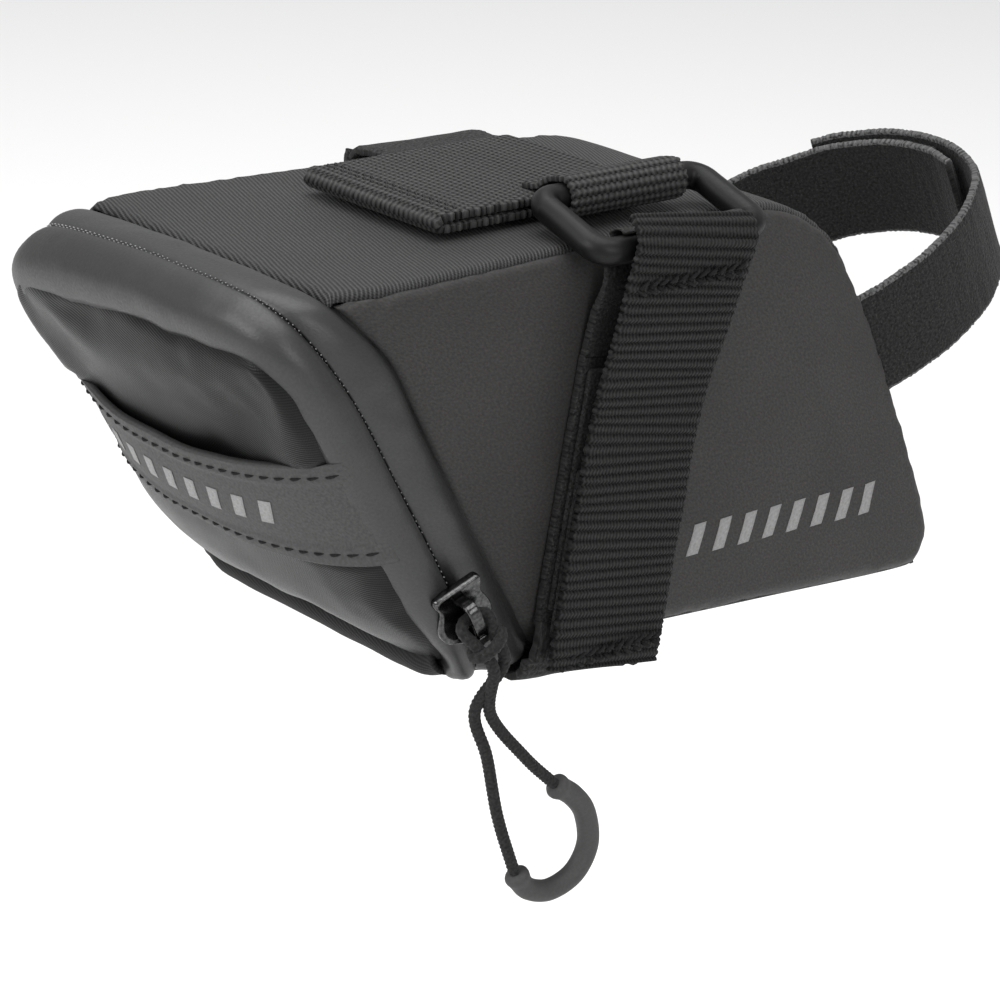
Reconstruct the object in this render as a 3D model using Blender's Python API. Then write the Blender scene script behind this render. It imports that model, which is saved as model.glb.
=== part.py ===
"""Saddle bag: a wedge-shaped under-saddle bag with a zipped rear lid.

Row frame, metres: +X forward (toward the seatpost), +Y left, +Z up.
The origin is the middle of the rail pad's top face.  Dimensions below are in
millimetres and are scaled once, when a point becomes a vertex.
"""
import math

import bpy
import bmesh
from mathutils import Vector

MM = 0.001

# ---- driving dimensions (mm) -------------------------------------------------
GAP = 0.3                 # between two pieces that touch
CLOTH = 1.2               # side, top, front and bottom panels
REAR_X = -54.0            # rear edge of the top panel
HALF_W0 = 36.0            # half width at the rear edge
TAPER = 0.08              # half width lost per mm forward
TOP_Z = -4.2              # outer face of the top panel
MOUTH_X0 = -49.4          # rear seam line: x at z = -5
MOUTH_SLOPE = 0.577       # and its run forward per mm down
FLOOR_Z0 = -72.5          # outer face of the bottom panel at x = 0
FLOOR_SLOPE = -0.09
FRONT_A = (62.5, -19.0)   # front panel, top end
FRONT_B = (88.5, -70.0)   # front panel, bottom end
WEB = 1.7                 # webbing thickness
STRAP_W = 25.0            # main strap width
POST_W = 20.0             # seatpost strap width
PAD_X, PAD_Y, PAD_T = 21.0, 17.5, 3.6
ROD_R = 2.3               # strap ring rod
RING_IN = (-22.0, 0.7)    # ring inner bar, (y, z)
RING_OUT = (-37.6, -4.2)  # ring outer bar, (y, z)
RING_X = 12.5             # middle of the ring
CORD_D = 2.0

N_OUT = Vector((-0.866, 0.0, -0.5))      # lid faces this way
T_DOWN = Vector((0.5, 0.0, -0.866))      # down along the lid


def half_width(x):
    return HALF_W0 - TAPER * (x - REAR_X)


def mouth_x(z):
    return MOUTH_X0 + MOUTH_SLOPE * (-5.0 - z)


def floor_z(x):
    return FLOOR_Z0 + FLOOR_SLOPE * x


def front_x(z):
    k = (FRONT_B[0] - FRONT_A[0]) / (FRONT_B[1] - FRONT_A[1])
    return FRONT_A[0] + k * (z - FRONT_A[1])


# ---- scene and helpers -------------------------------------------------------
for ob in list(bpy.data.objects):
    bpy.data.objects.remove(ob, do_unlink=True)

PARTS = bpy.data.collections.new("saddle_bag")
bpy.context.scene.collection.children.link(PARTS)
CUTTERS = bpy.data.collections.new("cutters")
bpy.context.scene.collection.children.link(CUTTERS)

COLORS = {
    "twill": ((0.045, 0.040, 0.052, 1), 0.75, 0.0),
    "coated": ((0.050, 0.047, 0.046, 1), 0.60, 0.0),
    "tape": ((0.030, 0.030, 0.034, 1), 0.35, 0.0),
    "webbing": ((0.018, 0.018, 0.020, 1), 0.80, 0.0),
    "pile": ((0.040, 0.040, 0.045, 1), 0.95, 0.0),
    "board": ((0.030, 0.030, 0.030, 1), 0.55, 0.0),
    "gloss": ((0.010, 0.010, 0.011, 1), 0.12, 0.0),
    "steel": ((0.050, 0.050, 0.055, 1), 0.20, 1.0),
    "cord": ((0.025, 0.025, 0.028, 1), 0.80, 0.0),
    "rubber": ((0.020, 0.020, 0.021, 1), 0.70, 0.0),
    "coil": ((0.020, 0.020, 0.022, 1), 0.40, 0.0),
}


def material(name, kind):
    color, rough, metal = COLORS[kind]
    mat = bpy.data.materials.new(name)
    mat.use_nodes = True
    bsdf = mat.node_tree.nodes["Principled BSDF"]
    bsdf.inputs["Base Color"].default_value = color
    bsdf.inputs["Roughness"].default_value = rough
    bsdf.inputs["Metallic"].default_value = metal
    return mat


def put(name, data, kind):
    ob = bpy.data.objects.new(name, data)
    PARTS.objects.link(ob)
    data.materials.append(material(name + "_mat", kind))
    return ob


def loft(name, sections, kind, caps=True):
    """A closed skin over a list of closed sections with equal point counts."""
    bm = bmesh.new()
    rings = [[bm.verts.new(Vector(p) * MM) for p in sec] for sec in sections]
    n = len(rings[0])
    for a, b in zip(rings, rings[1:]):
        for i in range(n):
            j = (i + 1) % n
            bm.faces.new((a[i], a[j], b[j], b[i]))
    if caps:
        bm.faces.new(list(reversed(rings[0])))
        bm.faces.new(rings[-1])
    bmesh.ops.recalc_face_normals(bm, faces=bm.faces)
    mesh = bpy.data.meshes.new(name)
    bm.to_mesh(mesh)
    bm.free()
    return put(name, mesh, kind)


def smooth(points, steps):
    """Even steps on a Catmull-Rom curve through the route points."""
    pts = [Vector(p) for p in points]
    pts = [pts[0] * 2 - pts[1]] + pts + [pts[-1] * 2 - pts[-2]]
    fine = []
    for i in range(1, len(pts) - 2):
        p0, p1, p2, p3 = pts[i - 1:i + 3]
        for k in range(24):
            t = k / 24.0
            fine.append(0.5 * ((2 * p1) + (p2 - p0) * t
                               + (2 * p0 - 5 * p1 + 4 * p2 - p3) * t * t
                               + (3 * p1 - p0 - 3 * p2 + p3) * t ** 3))
    fine.append(pts[-2])
    run = [0.0]
    for a, b in zip(fine, fine[1:]):
        run.append(run[-1] + (b - a).length)
    out, k = [], 0
    for i in range(steps + 1):
        want = run[-1] * i / steps
        while k < len(run) - 2 and run[k + 1] < want:
            k += 1
        f = (want - run[k]) / max(run[k + 1] - run[k], 1e-9)
        out.append(fine[k].lerp(fine[k + 1], min(max(f, 0.0), 1.0)))
    return out


def ribbon(name, centres, wides, width, thick, kind):
    """A strap: a flat section swept along its centre line."""
    secs = []
    for i, c in enumerate(centres):
        a = centres[max(i - 1, 0)]
        b = centres[min(i + 1, len(centres) - 1)]
        along = (b - a).normalized()
        w = Vector(wides[i])
        w = (w - along * w.dot(along)).normalized()
        n = along.cross(w).normalized()
        hw, ht = width / 2.0, thick / 2.0
        secs.append([c + w * hw + n * ht, c - w * hw + n * ht,
                     c - w * hw - n * ht, c + w * hw - n * ht])
    return loft(name, secs, kind)


def tube(name, route, steps, dia, kind, closed=False):
    """A cord or rod: a bevelled poly curve with filled ends."""
    pts = smooth(route, steps) if steps else [Vector(p) for p in route]
    cu = bpy.data.curves.new(name, "CURVE")
    cu.dimensions = "3D"
    cu.bevel_depth = dia * MM / 2.0
    cu.bevel_resolution = 2 if dia < 4.0 else 3
    cu.render_resolution_u = 0
    cu.use_fill_caps = not closed
    sp = cu.splines.new("POLY")
    sp.points.add(len(pts) - 1)
    for q, p in zip(sp.points, pts):
        q.co = (p[0] * MM, p[1] * MM, p[2] * MM, 1.0)
    sp.use_cyclic_u = closed
    return put(name, cu, kind)


def plate(name, outline, thick, kind, loc=(0, 0, 0), rot=(0, 0, 0)):
    """A flat piece: an extruded outline, lying in its own XY plane."""
    cu = bpy.data.curves.new(name, "CURVE")
    cu.dimensions = "2D"
    cu.fill_mode = "BOTH"
    cu.extrude = thick * MM / 2.0
    cu.render_resolution_u = 0
    sp = cu.splines.new("POLY")
    sp.points.add(len(outline) - 1)
    for q, p in zip(sp.points, outline):
        q.co = (p[0] * MM, p[1] * MM, 0.0, 1.0)
    sp.use_cyclic_u = True
    ob = put(name, cu, kind)
    ob.location = Vector(loc) * MM
    ob.rotation_euler = rot
    return ob


# ---- side panels: flat, tapering toward the front ----------------------------
def side_outline():
    g = GAP
    pts = [(mouth_x(-14.0) + g, -14.0), (-47.0, -8.5), (-49.0, TOP_Z - 1.2),
           (40.0, TOP_Z - 1.2), (50.0, -8.0), (57.0, -12.5), (62.5, -19.5)]
    pts += [(front_x(z), z) for z in (-30.0, -50.0, -70.0)]
    pts += [(89.6, -74.0), (87.6, -78.0), (83.0, floor_z(83.0) + 0.2)]
    pts += [(x, floor_z(x)) for x in (40.0, 0.0, -11.0)]
    pts += [(mouth_x(z) + g, z) for z in (-66.0, -50.0, -30.0)]
    return pts


TURN = math.atan(TAPER)
for side, s in (("right", -1.0), ("left", 1.0)):
    # the plate lies in XZ, turned about Z so that it follows the taper
    hinge_y = s * (half_width(0.0) - CLOTH / 2.0)
    k = 1.0 / math.cos(TURN)
    outline = [(x * k, z) for x, z in side_outline()]
    plate("side_panel_" + side, outline, CLOTH, "coated",
          loc=(0.0, hinge_y, 0.0), rot=(math.pi / 2, 0.0, -s * TURN))

# ---- top panel: flat, then rolled down over the front edge -------------------
top_profile = [(REAR_X + 1.0, 0.0), (-20.0, 0.0), (10.0, 0.0), (38.0, 0.0),
               (47.0, -2.4), (54.5, -6.6), (59.5, -11.0), (62.6, -15.6)]


def top_section(x, dz):
    hw = half_width(x) - CLOTH - 0.5
    ys = (-hw, -hw * 0.9, 0.0, hw * 0.9, hw)
    drop = (-0.9, 0.0, 0.0, 0.0, -0.9)
    outer = [(x, y, TOP_Z + dz + d) for y, d in zip(ys, drop)]
    return outer


def rolled(profile, thick):
    secs = []
    for i, (x, dz) in enumerate(profile):
        ax, az = profile[max(i - 1, 0)]
        bx, bz = profile[min(i + 1, len(profile) - 1)]
        d = Vector((bx - ax, 0.0, bz - az)).normalized()
        inward = Vector((d.z, 0.0, -d.x))
        outer = [Vector(p) for p in top_section(x, dz)]
        inner = [p + inward * thick for p in reversed(outer)]
        secs.append(outer + inner)
    return secs


loft("top_panel", rolled(top_profile, CLOTH), "twill")

# ---- front and bottom panels -------------------------------------------------
fa, fb = Vector((front_x(-21.6), 0, -21.6)), Vector((front_x(-71.5), 0, -71.5))
f_len = (fb - fa).length
f_ang = math.atan2(fb.z - fa.z, fb.x - fa.x)
f_in = Vector((math.sin(f_ang), 0, -math.cos(f_ang)))
hw_a, hw_b = half_width(fa.x) - 1.9, half_width(fb.x) - 1.9
f_mid = fa + f_in * (CLOTH / 2.0 + 0.4)
plate("front_panel", [(0, -hw_a), (f_len, -hw_b), (f_len, hw_b), (0, hw_a)],
      CLOTH, "coated", loc=f_mid, rot=(0.0, -f_ang, 0.0))

FLOOR_X = (-22.0, 83.0)
b_ang = math.atan(FLOOR_SLOPE)
b_len = (FLOOR_X[1] - FLOOR_X[0]) / math.cos(b_ang)
b0 = Vector((FLOOR_X[0], 0, floor_z(FLOOR_X[0]) + CLOTH / 2.0 + 0.05))
hb0, hb1 = half_width(-8.0) - 1.9, half_width(FLOOR_X[1]) - 1.9
plate("bottom_panel", [(0, -hb0), (14, -hb0), (b_len, -hb1), (b_len, hb1),
                       (14, hb0), (0, hb0)],
      CLOTH, "webbing", loc=b0, rot=(0.0, -b_ang, 0.0))
plate("base_stiffener", [(14, -hb0 + 3), (b_len - 6, -hb1 + 3),
                         (b_len - 6, hb1 - 3), (14, hb0 - 3)],
      1.0, "board", loc=b0 + Vector((0.09, 0, 1)) * (CLOTH / 2 + GAP + 0.5),
      rot=(0.0, -b_ang, 0.0))

# ---- mouth: three seam lines, right half, bottom to top middle ---------------
R0 = [(mouth_x(-67.5) - .3, -32.8, -67.5), (mouth_x(-50.0) - .1, -33.6, -50.0),
      (mouth_x(-30.0) - .1, -34.6, -30.0), (mouth_x(-15.0) - .1, -35.2, -15.0),
      (-51.0, -34.0, -7.6), (-53.6, -30.4, -5.0), (-54.0, -22.0, -4.4),
      (-54.0, -10.0, -4.3), (-54.0, 0.0, -4.3)]
R1 = [(-24.8, -34.3, -67.9), (-31.2, -35.4, -54.5), (-42.8, -36.4, -34.5),
      (-51.6, -36.6, -19.5), (-58.2, -34.2, -9.8), (-61.8, -28.8, -5.2),
      (-63.2, -21.0, -3.8), (-63.6, -10.0, -3.5), (-63.6, 0.0, -3.5)]
R2 = [(-31.2, -33.8, -66.6), (-38.1, -36.2, -58.5), (-49.7, -37.2, -38.5),
      (-58.3, -37.0, -23.5), (-64.0, -34.4, -15.4), (-66.8, -29.0, -12.8),
      (-68.2, -20.0, -12.2), (-68.7, -9.0, -12.1), (-68.8, 0.0, -12.1)]
MOUTH_STEPS = 18


def both_sides(route):
    right = smooth(route, MOUTH_STEPS)
    left = [Vector((p.x, -p.y, p.z)) for p in reversed(right[:-1])]
    return right + left


r0, r1, r2 = both_sides(R0), both_sides(R1), both_sides(R2)


def inward(p):
    """Into the bag from a point on the mouth."""
    aim = Vector((-24.0 + 0.18 * (p.z + 40.0), 0.0, -38.0 + 0.2 * (p.z + 38)))
    return (aim - p).normalized()


def tape(name, outer_line, inner_line, bulge, kind, at_coil, trim=0.3):
    """One side of the zip; both sides share one inward way at the coil."""
    secs = []
    for p, q in zip(outer_line, inner_line):
        way = (q - p).normalized()
        own = inward((p + q) / 2.0)
        own = (own - way * own.dot(way)).normalized()
        shared = inward(q if at_coil == 1 else p)
        a, b = p + way * trim, q - way * trim
        face, back = [], []
        for k in range(5):
            u = k / 4.0
            mix = u if at_coil == 1 else 1.0 - u
            deep = own.lerp(shared, mix * mix).normalized()
            top = a.lerp(b, u) - own * bulge * 4 * u * (1 - u)
            face.append(top)
            back.append(top + deep * TAPE_T)
        secs.append(face + list(reversed(back)))
    return loft(name, secs, kind)


TAPE_T = 1.0
tape("zip_tape_body", r0, r1, 0.6, "tape", at_coil=1)
tape("zip_tape_lid", r1, r2, 0.7, "tape", at_coil=0)


def coil(name, shift):
    pts = []
    for p, q, o in list(zip(r1, r2, r0))[1:-1]:
        deep = inward(p)
        across = ((q - o) - deep * (q - o).dot(deep)).normalized()
        pts.append(p + deep * COIL_DEEP + across * shift)
    return tube(name, pts, 0, 1.6, "coil")


COIL_DEEP = 4.7
coil("zip_coil_body", -1.0)
coil("zip_coil_lid", 1.0)

# ---- rear lid: a puffed panel hung on its lower edge -------------------------
LID_LOW = -66.2


def lid_rows(lift, thick):
    rows = []
    edge = [p for p in r2[:MOUTH_STEPS + 1] if p.y < -27.0]
    for i, p in enumerate(edge):
        u = i / (len(edge) - 1.0)
        puff = lift * (math.sin(math.pi * min(u * 1.15 + 0.08, 1.0)) ** 0.7)
        puff = max(puff, 2.6 * u)
        hw = -p.y - 1.75
        base = Vector((p.x, 0.0, p.z)) - N_OUT * 0.3 + T_DOWN * (0.7 * u)
        face = []
        for k in range(9):
            v = -1.0 + k / 4.0
            c = base + N_OUT * puff * (1.0 - v * v) ** 0.8
            face.append(Vector((c.x, v * hw, c.z)))
        back = [q - N_OUT * thick for q in reversed(face)]
        rows.append(face + back)
    return rows


loft("rear_lid", lid_rows(4.6, 2.0), "twill")

# strip that joins the lid's lower edge to the bottom panel
hinge_face = [(-31.0, -68.3), (-31.4, -69.6), (-29.6, -71.4), (-23.0, -71.8)]
hinge_back = [(-22.6, -70.8), (-28.8, -70.4), (-30.6, -69.4), (-30.6, -68.6)]
secs = []
for y in (-31.8, -20.0, 0.0, 20.0, 31.8):
    secs.append([(x, y, z) for x, z in hinge_face + hinge_back])
loft("lid_hinge_tape", secs, "webbing")

# ---- light loop: a flat band that stands off the lid -------------------------
LOOP_MID = Vector((-49.7, 0.0, -38.5))
LOOP_W = 19.5


def loop_section(y, off):
    c = LOOP_MID + N_OUT * off
    c = Vector((c.x, y, c.z))
    hw = LOOP_W / 2.0
    return [c - T_DOWN * hw + N_OUT * 0.5, c + T_DOWN * hw + N_OUT * 0.5,
            c + T_DOWN * hw - N_OUT * 0.5, c - T_DOWN * hw - N_OUT * 0.5]


loop_way = [(-36.0, 1.5), (-34.0, 2.2), (-29.0, 3.9), (-20.0, 6.1),
            (-12.0, 7.5), (-6.0, 7.9), (6.0, 7.9), (12.0, 7.5), (20.0, 6.1),
            (29.0, 3.9), (34.0, 2.2), (36.0, 1.5)]
loft("light_loop", [loop_section(y, o) for y, o in loop_way], "coated")

# ---- slider and its hoop -----------------------------------------------------
SL = Vector((-30.4, -36.9, -57.6))
q_out = (N_OUT * 0.12 + Vector((0, -1, 0)) * 0.99).normalized()
along = (Vector(R1[0]) - Vector(R1[1])).normalized()
q_out = (q_out - along * q_out.dot(along)).normalized()
cross = along.cross(q_out).normalized()


def on_slider(a, c, h):
    return SL + along * a + cross * c + q_out * h


def slab(name, outline, h0, h1, kind):
    return loft(name, [[on_slider(a, c, h0) for a, c in outline],
                       [on_slider(a, c, h1) for a, c in outline]], kind)


slab("zip_slider", [(-5.6, -3.4), (-4.2, -4.6), (3.4, -4.2), (5.0, -2.4),
                    (5.4, 0.0), (5.0, 2.4), (3.4, 4.2), (-4.2, 4.6),
                    (-5.6, 3.4)], 1.1, 2.5, "steel")
hoop = [(-3.8, 2.8), (-3.8, 5.4), (-2.6, 6.6), (2.6, 6.6), (3.8, 5.4),
        (3.8, 2.8), (2.3, 2.8), (2.3, 5.1), (-2.3, 5.1), (-2.3, 2.8)]
loft("zip_slider_bridge",
     [[on_slider(a, -0.9, h) for a, h in hoop],
      [on_slider(a, 0.9, h) for a, h in hoop]], "steel")

for side, s in (("right", -1.0), ("left", 1.0)):
    c0, c1 = (r1[0], r1[1]) if s < 0 else (r1[-1], r1[-2])
    deep = inward(c0)
    a0 = (c1 - c0).normalized()
    side_v = a0.cross(deep).normalized()
    c = c0.lerp(c1, 0.3) + deep * (COIL_DEEP + 1.4)
    box = [c + side_v * u * 2.1 + deep * v * 0.8
           for u, v in ((-1, -1), (1, -1), (1, 1), (-1, 1))]
    loft("zip_stop_" + side, [box, [p + a0 * 2.2 for p in box]], "steel")

# ---- pull: cord tied to the hoop, ends held by a rubber grip -----------------
cord_route = [(-19.4, -40.0, -105.0), (-23.6, -40.4, -94.0),
              (-26.2, -40.4, -83.0), (-29.0, -40.0, -74.0),
              on_slider(8.5, -1.3, 7.6), on_slider(4.0, -2.8, 6.6),
              on_slider(0.4, -3.0, 5.0), on_slider(0.0, -1.2, 3.85),
              on_slider(0.0, 1.2, 3.85), on_slider(0.4, 3.0, 5.0),
              on_slider(4.0, 2.8, 6.6), on_slider(8.0, 1.4, 8.2),
              (-25.4, -41.6, -76.0),
              (-18.8, -41.0, -84.6), (-12.2, -40.6, -91.0)]
tube("pull_cord", cord_route, 60, CORD_D, "cord")
grip_route = [(-18.8, -40.0, -105.9), (-16.4, -40.0, -108.8),
              (-11.8, -40.1, -110.2), (-6.8, -40.3, -108.4),
              (-4.2, -40.4, -103.8), (-5.2, -40.5, -98.0),
              (-8.0, -40.6, -94.2), (-11.4, -40.6, -91.7)]
tube("pull_grip", grip_route, 24, 3.8, "rubber")

# ---- rail pad: wide webbing folded once, the fold at the rear ----------------
h = PAD_T / 2.0
layer = h - 0.1
fold = [(PAD_X, 0.0), (-PAD_X + 2.4, 0.0), (-PAD_X + 0.9, -0.35),
        (-PAD_X + 0.1, -h), (-PAD_X + 0.9, -PAD_T + 0.35),
        (-PAD_X + 2.4, -PAD_T), (PAD_X, -PAD_T), (PAD_X, -h - 0.1),
        (-PAD_X + 2.6, -h - 0.1), (-PAD_X + 2.6, -h + 0.1), (PAD_X, -h + 0.1)]
loft("rail_pad", [[(x, y, z) for x, z in fold] for y in (-PAD_Y, PAD_Y)],
     "webbing")

# ---- strap ring and its keeper ----------------------------------------------
ring_a = Vector((RING_X, RING_IN[0], RING_IN[1]))
ring_b = Vector((RING_X, RING_OUT[0], RING_OUT[1]))
out_v = (ring_b - ring_a).normalized()
reach = (ring_b - ring_a).length
HALF_RING = STRAP_W / 2.0 + 1.9 + ROD_R
ring_pts = []
corners = [(-HALF_RING, 0.0), (HALF_RING, 0.0), (HALF_RING, reach),
           (-HALF_RING, reach)]
for (cx, cy), (dx, dy) in zip(corners, ((1, 1), (-1, 1), (-1, -1), (1, -1))):
    r = 2.6
    centre = (cx + dx * r, cy + dy * r)
    start = {(1, 1): 180, (-1, 1): 270, (-1, -1): 0, (1, -1): 90}[(dx, dy)]
    for k in range(5):
        t = math.radians(start + 22.5 * k)
        u = centre[0] + r * math.cos(t)
        v = centre[1] + r * math.sin(t)
        ring_pts.append(ring_a + Vector((u, 0, 0)) + out_v * v)
tube("strap_ring", ring_pts, 0, ROD_R * 2, "gloss", closed=True)


def around(centre, radius, a0, a1, n):
    pts = []
    for k in range(n + 1):
        t = math.radians(a0 + (a1 - a0) * k / n)
        pts.append((centre[0] + radius * math.cos(t),
                    centre[1] + radius * math.sin(t)))
    return pts


KEEP_T = 1.3
kr = ROD_R + 0.35 + KEEP_T / 2.0
keep = [(-18.0, RING_IN[1] + kr - 1.2), (-19.6, RING_IN[1] + kr - 0.4)]
keep += around(RING_IN, kr, 90, 262, 9)
keep += [(-20.6, RING_IN[1] - kr), (-18.0, RING_IN[1] - kr + 0.1)]
ribbon("ring_keeper", [Vector((RING_X, y, z)) for y, z in keep],
       [(1, 0, 0)] * len(keep), STRAP_W - 1.0, KEEP_T, "webbing")

# ---- main strap: from the pad's left edge, round the bag, up to the ring -----
LOW_X = -0.5                      # the strap leans: further back at the bottom


def strap_x(z):
    return RING_X + (z + 3.0) * (RING_X - LOW_X) / 71.0


def on_side(s, z, lift):
    x = strap_x(z)
    return Vector((x, s * (half_width(x) + lift), z))


LAY = GAP + WEB / 2.0 + 0.1
down_left = [(RING_X, PAD_Y + 0.5, TOP_Z + LAY + 0.15),
             (RING_X, 25.0, TOP_Z + LAY), (RING_X, 28.6, TOP_Z + LAY),
             (RING_X, 31.4, TOP_Z + 0.4), (RING_X, 32.8, -6.6),
             on_side(1, -11.0, LAY + 0.2),
             on_side(1, -20.0, LAY), on_side(1, -40.0, LAY),
             on_side(1, -60.0, LAY + 0.1), on_side(1, -69.0, LAY + 0.5)]
under = [(LOW_X, 33.7, -72.3), (LOW_X, 32.0, -74.5), (LOW_X, 29.0, -75.0),
         (LOW_X, 10.0, -74.5), (LOW_X, -10.0, -74.5), (LOW_X, -29.0, -75.0),
         (LOW_X, -32.0, -74.5), (LOW_X, -33.7, -72.3)]
up_right = [on_side(-1, -69.0, LAY + 0.5), on_side(-1, -60.0, LAY),
            on_side(-1, -40.0, LAY), on_side(-1, -24.0, LAY + 0.1),
            on_side(-1, -16.5, LAY + 0.9),
            (strap_x(-11.4), RING_OUT[0] + ROD_R + 0.55 + WEB / 2, -11.4)]
strap_line = smooth(down_left + under + up_right, 74)


def strap_wide(p):
    if p.z < -73.6:
        return (1.0, 0.0, FLOOR_SLOPE)
    if p.z > -5.2 and 0.0 < p.y < 30.5:
        return (1.0, 0.0, 0.0)
    if p.y < 0:
        # the strap squares up to the ring over its last few millimetres
        return (1.0, TAPER * min(max((-p.z - 7.0) / 12.0, 0.0), 1.0), 0.0)
    return (1.0, -TAPER, 0.0)


ribbon("main_strap", strap_line, [strap_wide(p) for p in strap_line],
       STRAP_W, WEB, "pile")


def patch(name, z0, z1, lift0, lift1, thick, kind):
    line = []
    for k in range(6):
        z = z0 + (z1 - z0) * k / 5.0
        line.append(on_side(-1, z, lift0 + (lift1 - lift0) * k / 5.0))
    return ribbon(name, line, [(1, TAPER, 0)] * 6, STRAP_W - 1.5, thick, kind)


LOOP_T, HOOK_T = 1.0, 1.0
l_lift = LAY + WEB / 2 + GAP + LOOP_T / 2
h_lift = l_lift + LOOP_T / 2 + GAP + HOOK_T / 2
t_lift = h_lift + HOOK_T / 2 + GAP + 0.75
patch("strap_loop_patch", -26.0, -65.0, l_lift + 0.1, l_lift + 0.25, LOOP_T, "pile")
patch("strap_hook_patch", -42.0, -69.0, h_lift + 0.2, h_lift + 0.3, HOOK_T, "pile")

# ---- strap tail: over the ring's outer bar and down --------------------------
tr = ROD_R + 0.35 + WEB / 2.0
tail = around(RING_OUT, tr, -14, 180, 12)
tail = [Vector((strap_x(z), y, z)) for y, z in tail]
lower = [(-40.9, -9.5), (-39.9, -17.0), (-38.3, -26.0)]
tail += [Vector((strap_x(z), y, z)) for y, z in lower]
tail += [on_side(-1, z, t_lift + 0.45) for z in (-36.0, -46.0, -56.0, -66.0,
                                                 -74.0)]
ribbon("strap_tail", tail, [(1, 0, 0)] * 13 + [(1, TAPER / 2, 0)] * 3
       + [(1, TAPER, 0)] * 5, STRAP_W, 1.5, "webbing")

# ---- seatpost strap: two arms that close round the post ----------------------
M_FWD = Vector((0.906, 0.0, 0.423))
M_UP = Vector((-0.423, 0.0, 0.906))
ARM_ROOT = Vector((72.0, 0.0, -34.0))


def arm(name, route, steps, thick, wide, kind):
    pts = smooth([(m, y, 0) for m, y in route], steps)
    line = [ARM_ROOT + M_FWD * p.x + Vector((0, p.y, 0)) for p in pts]
    return ribbon(name, line, [M_UP] * len(line), wide, thick, kind)


outer_arm = [(1.6, -25.8), (6.0, -26.4), (13.0, -26.8), (22.0, -25.4),
             (29.5, -22.4), (35.8, -17.8), (39.4, -11.8), (41.2, -4.2),
             (40.2, 5.9), (35.5, 15.5), (31.0, 19.8)]
inner_arm = [(1.6, 25.8), (6.0, 26.2), (12.0, 26.0), (19.0, 24.0),
             (25.0, 20.0), (32.5, 13.6), (37.0, 5.0), (38.0, -4.0),
             (36.4, -11.0)]
arm("post_strap_right", outer_arm, 30, 1.5, POST_W, "pile")
arm("post_strap_left", inner_arm, 26, 1.5, POST_W, "pile")
arm("post_strap_hook", [(39.6, -4.0), (38.7, 5.4), (34.1, 14.5)], 8, 0.9,
    POST_W - 2.0, "pile")

f_out = -f_in
mid = fa.lerp(fb, 0.28)
u_dir = (fb - fa).normalized()
base = mid + f_out * 0.6
tape_secs = []
for y in (-hw_a + 0.6, hw_a - 0.6):
    tape_secs.append([base + u_dir * a + f_out * b + Vector((0, y, 0))
                      for a, b in ((-10, -0.5), (10, -0.5), (10, 0.8),
                                   (-10, 0.8))])
loft("post_strap_anchor", tape_secs, "webbing")

# ---- inner seam bindings -----------------------------------------------------
for side, s in (("right", -1.0), ("left", 1.0)):
    line = []
    for x in (-38.0, 0.0, 34.0):
        line.append(Vector((x, s * (half_width(x) - 4.2), TOP_Z - 3.3)))
    ribbon("seam_binding_" + side, line, [(0.0, 1.0, 0.0)] * 3, 3.6, 1.4,
           "webbing")
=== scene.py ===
# %% Load the frame
import math

import bpy
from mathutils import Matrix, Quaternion, Vector, noise


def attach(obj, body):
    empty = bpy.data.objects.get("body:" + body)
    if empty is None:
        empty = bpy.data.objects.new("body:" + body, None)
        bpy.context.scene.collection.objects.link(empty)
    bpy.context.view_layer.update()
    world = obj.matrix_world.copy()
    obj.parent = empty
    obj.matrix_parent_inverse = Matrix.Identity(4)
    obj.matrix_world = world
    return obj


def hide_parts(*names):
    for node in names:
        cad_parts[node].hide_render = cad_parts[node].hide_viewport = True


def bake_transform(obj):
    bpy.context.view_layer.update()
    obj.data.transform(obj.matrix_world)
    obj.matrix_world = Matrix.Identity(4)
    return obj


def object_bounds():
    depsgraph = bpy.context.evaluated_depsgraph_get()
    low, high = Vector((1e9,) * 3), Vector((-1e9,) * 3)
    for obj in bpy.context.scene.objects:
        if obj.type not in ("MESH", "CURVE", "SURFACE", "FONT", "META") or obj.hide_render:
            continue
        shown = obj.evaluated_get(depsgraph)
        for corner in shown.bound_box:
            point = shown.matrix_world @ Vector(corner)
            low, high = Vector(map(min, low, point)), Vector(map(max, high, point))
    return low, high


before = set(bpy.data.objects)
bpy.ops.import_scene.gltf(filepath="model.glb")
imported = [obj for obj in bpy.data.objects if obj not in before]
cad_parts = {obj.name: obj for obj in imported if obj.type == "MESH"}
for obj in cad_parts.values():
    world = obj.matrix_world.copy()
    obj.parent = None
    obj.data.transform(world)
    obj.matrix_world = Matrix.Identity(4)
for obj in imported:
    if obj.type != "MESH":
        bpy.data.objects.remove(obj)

MM = 0.001
cad_low, cad_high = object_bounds()
print("frame box, mm:", [round(v / MM, 1) for v in cad_high - cad_low])

# %% [markdown]
# # A small saddle bag
# The bag hangs under a saddle: +X points forward to the seatpost, +Y left, +Z up, and the origin is
# the middle of the webbing pad that lies against the saddle rails.  It is a wedge of sewn cloth, a lid
# zipped round its rear, one long strap with a plastic ring, and a hook-and-loop strap for the post.
# Points are written in millimetres and scaled once, when they become vertices.

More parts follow.
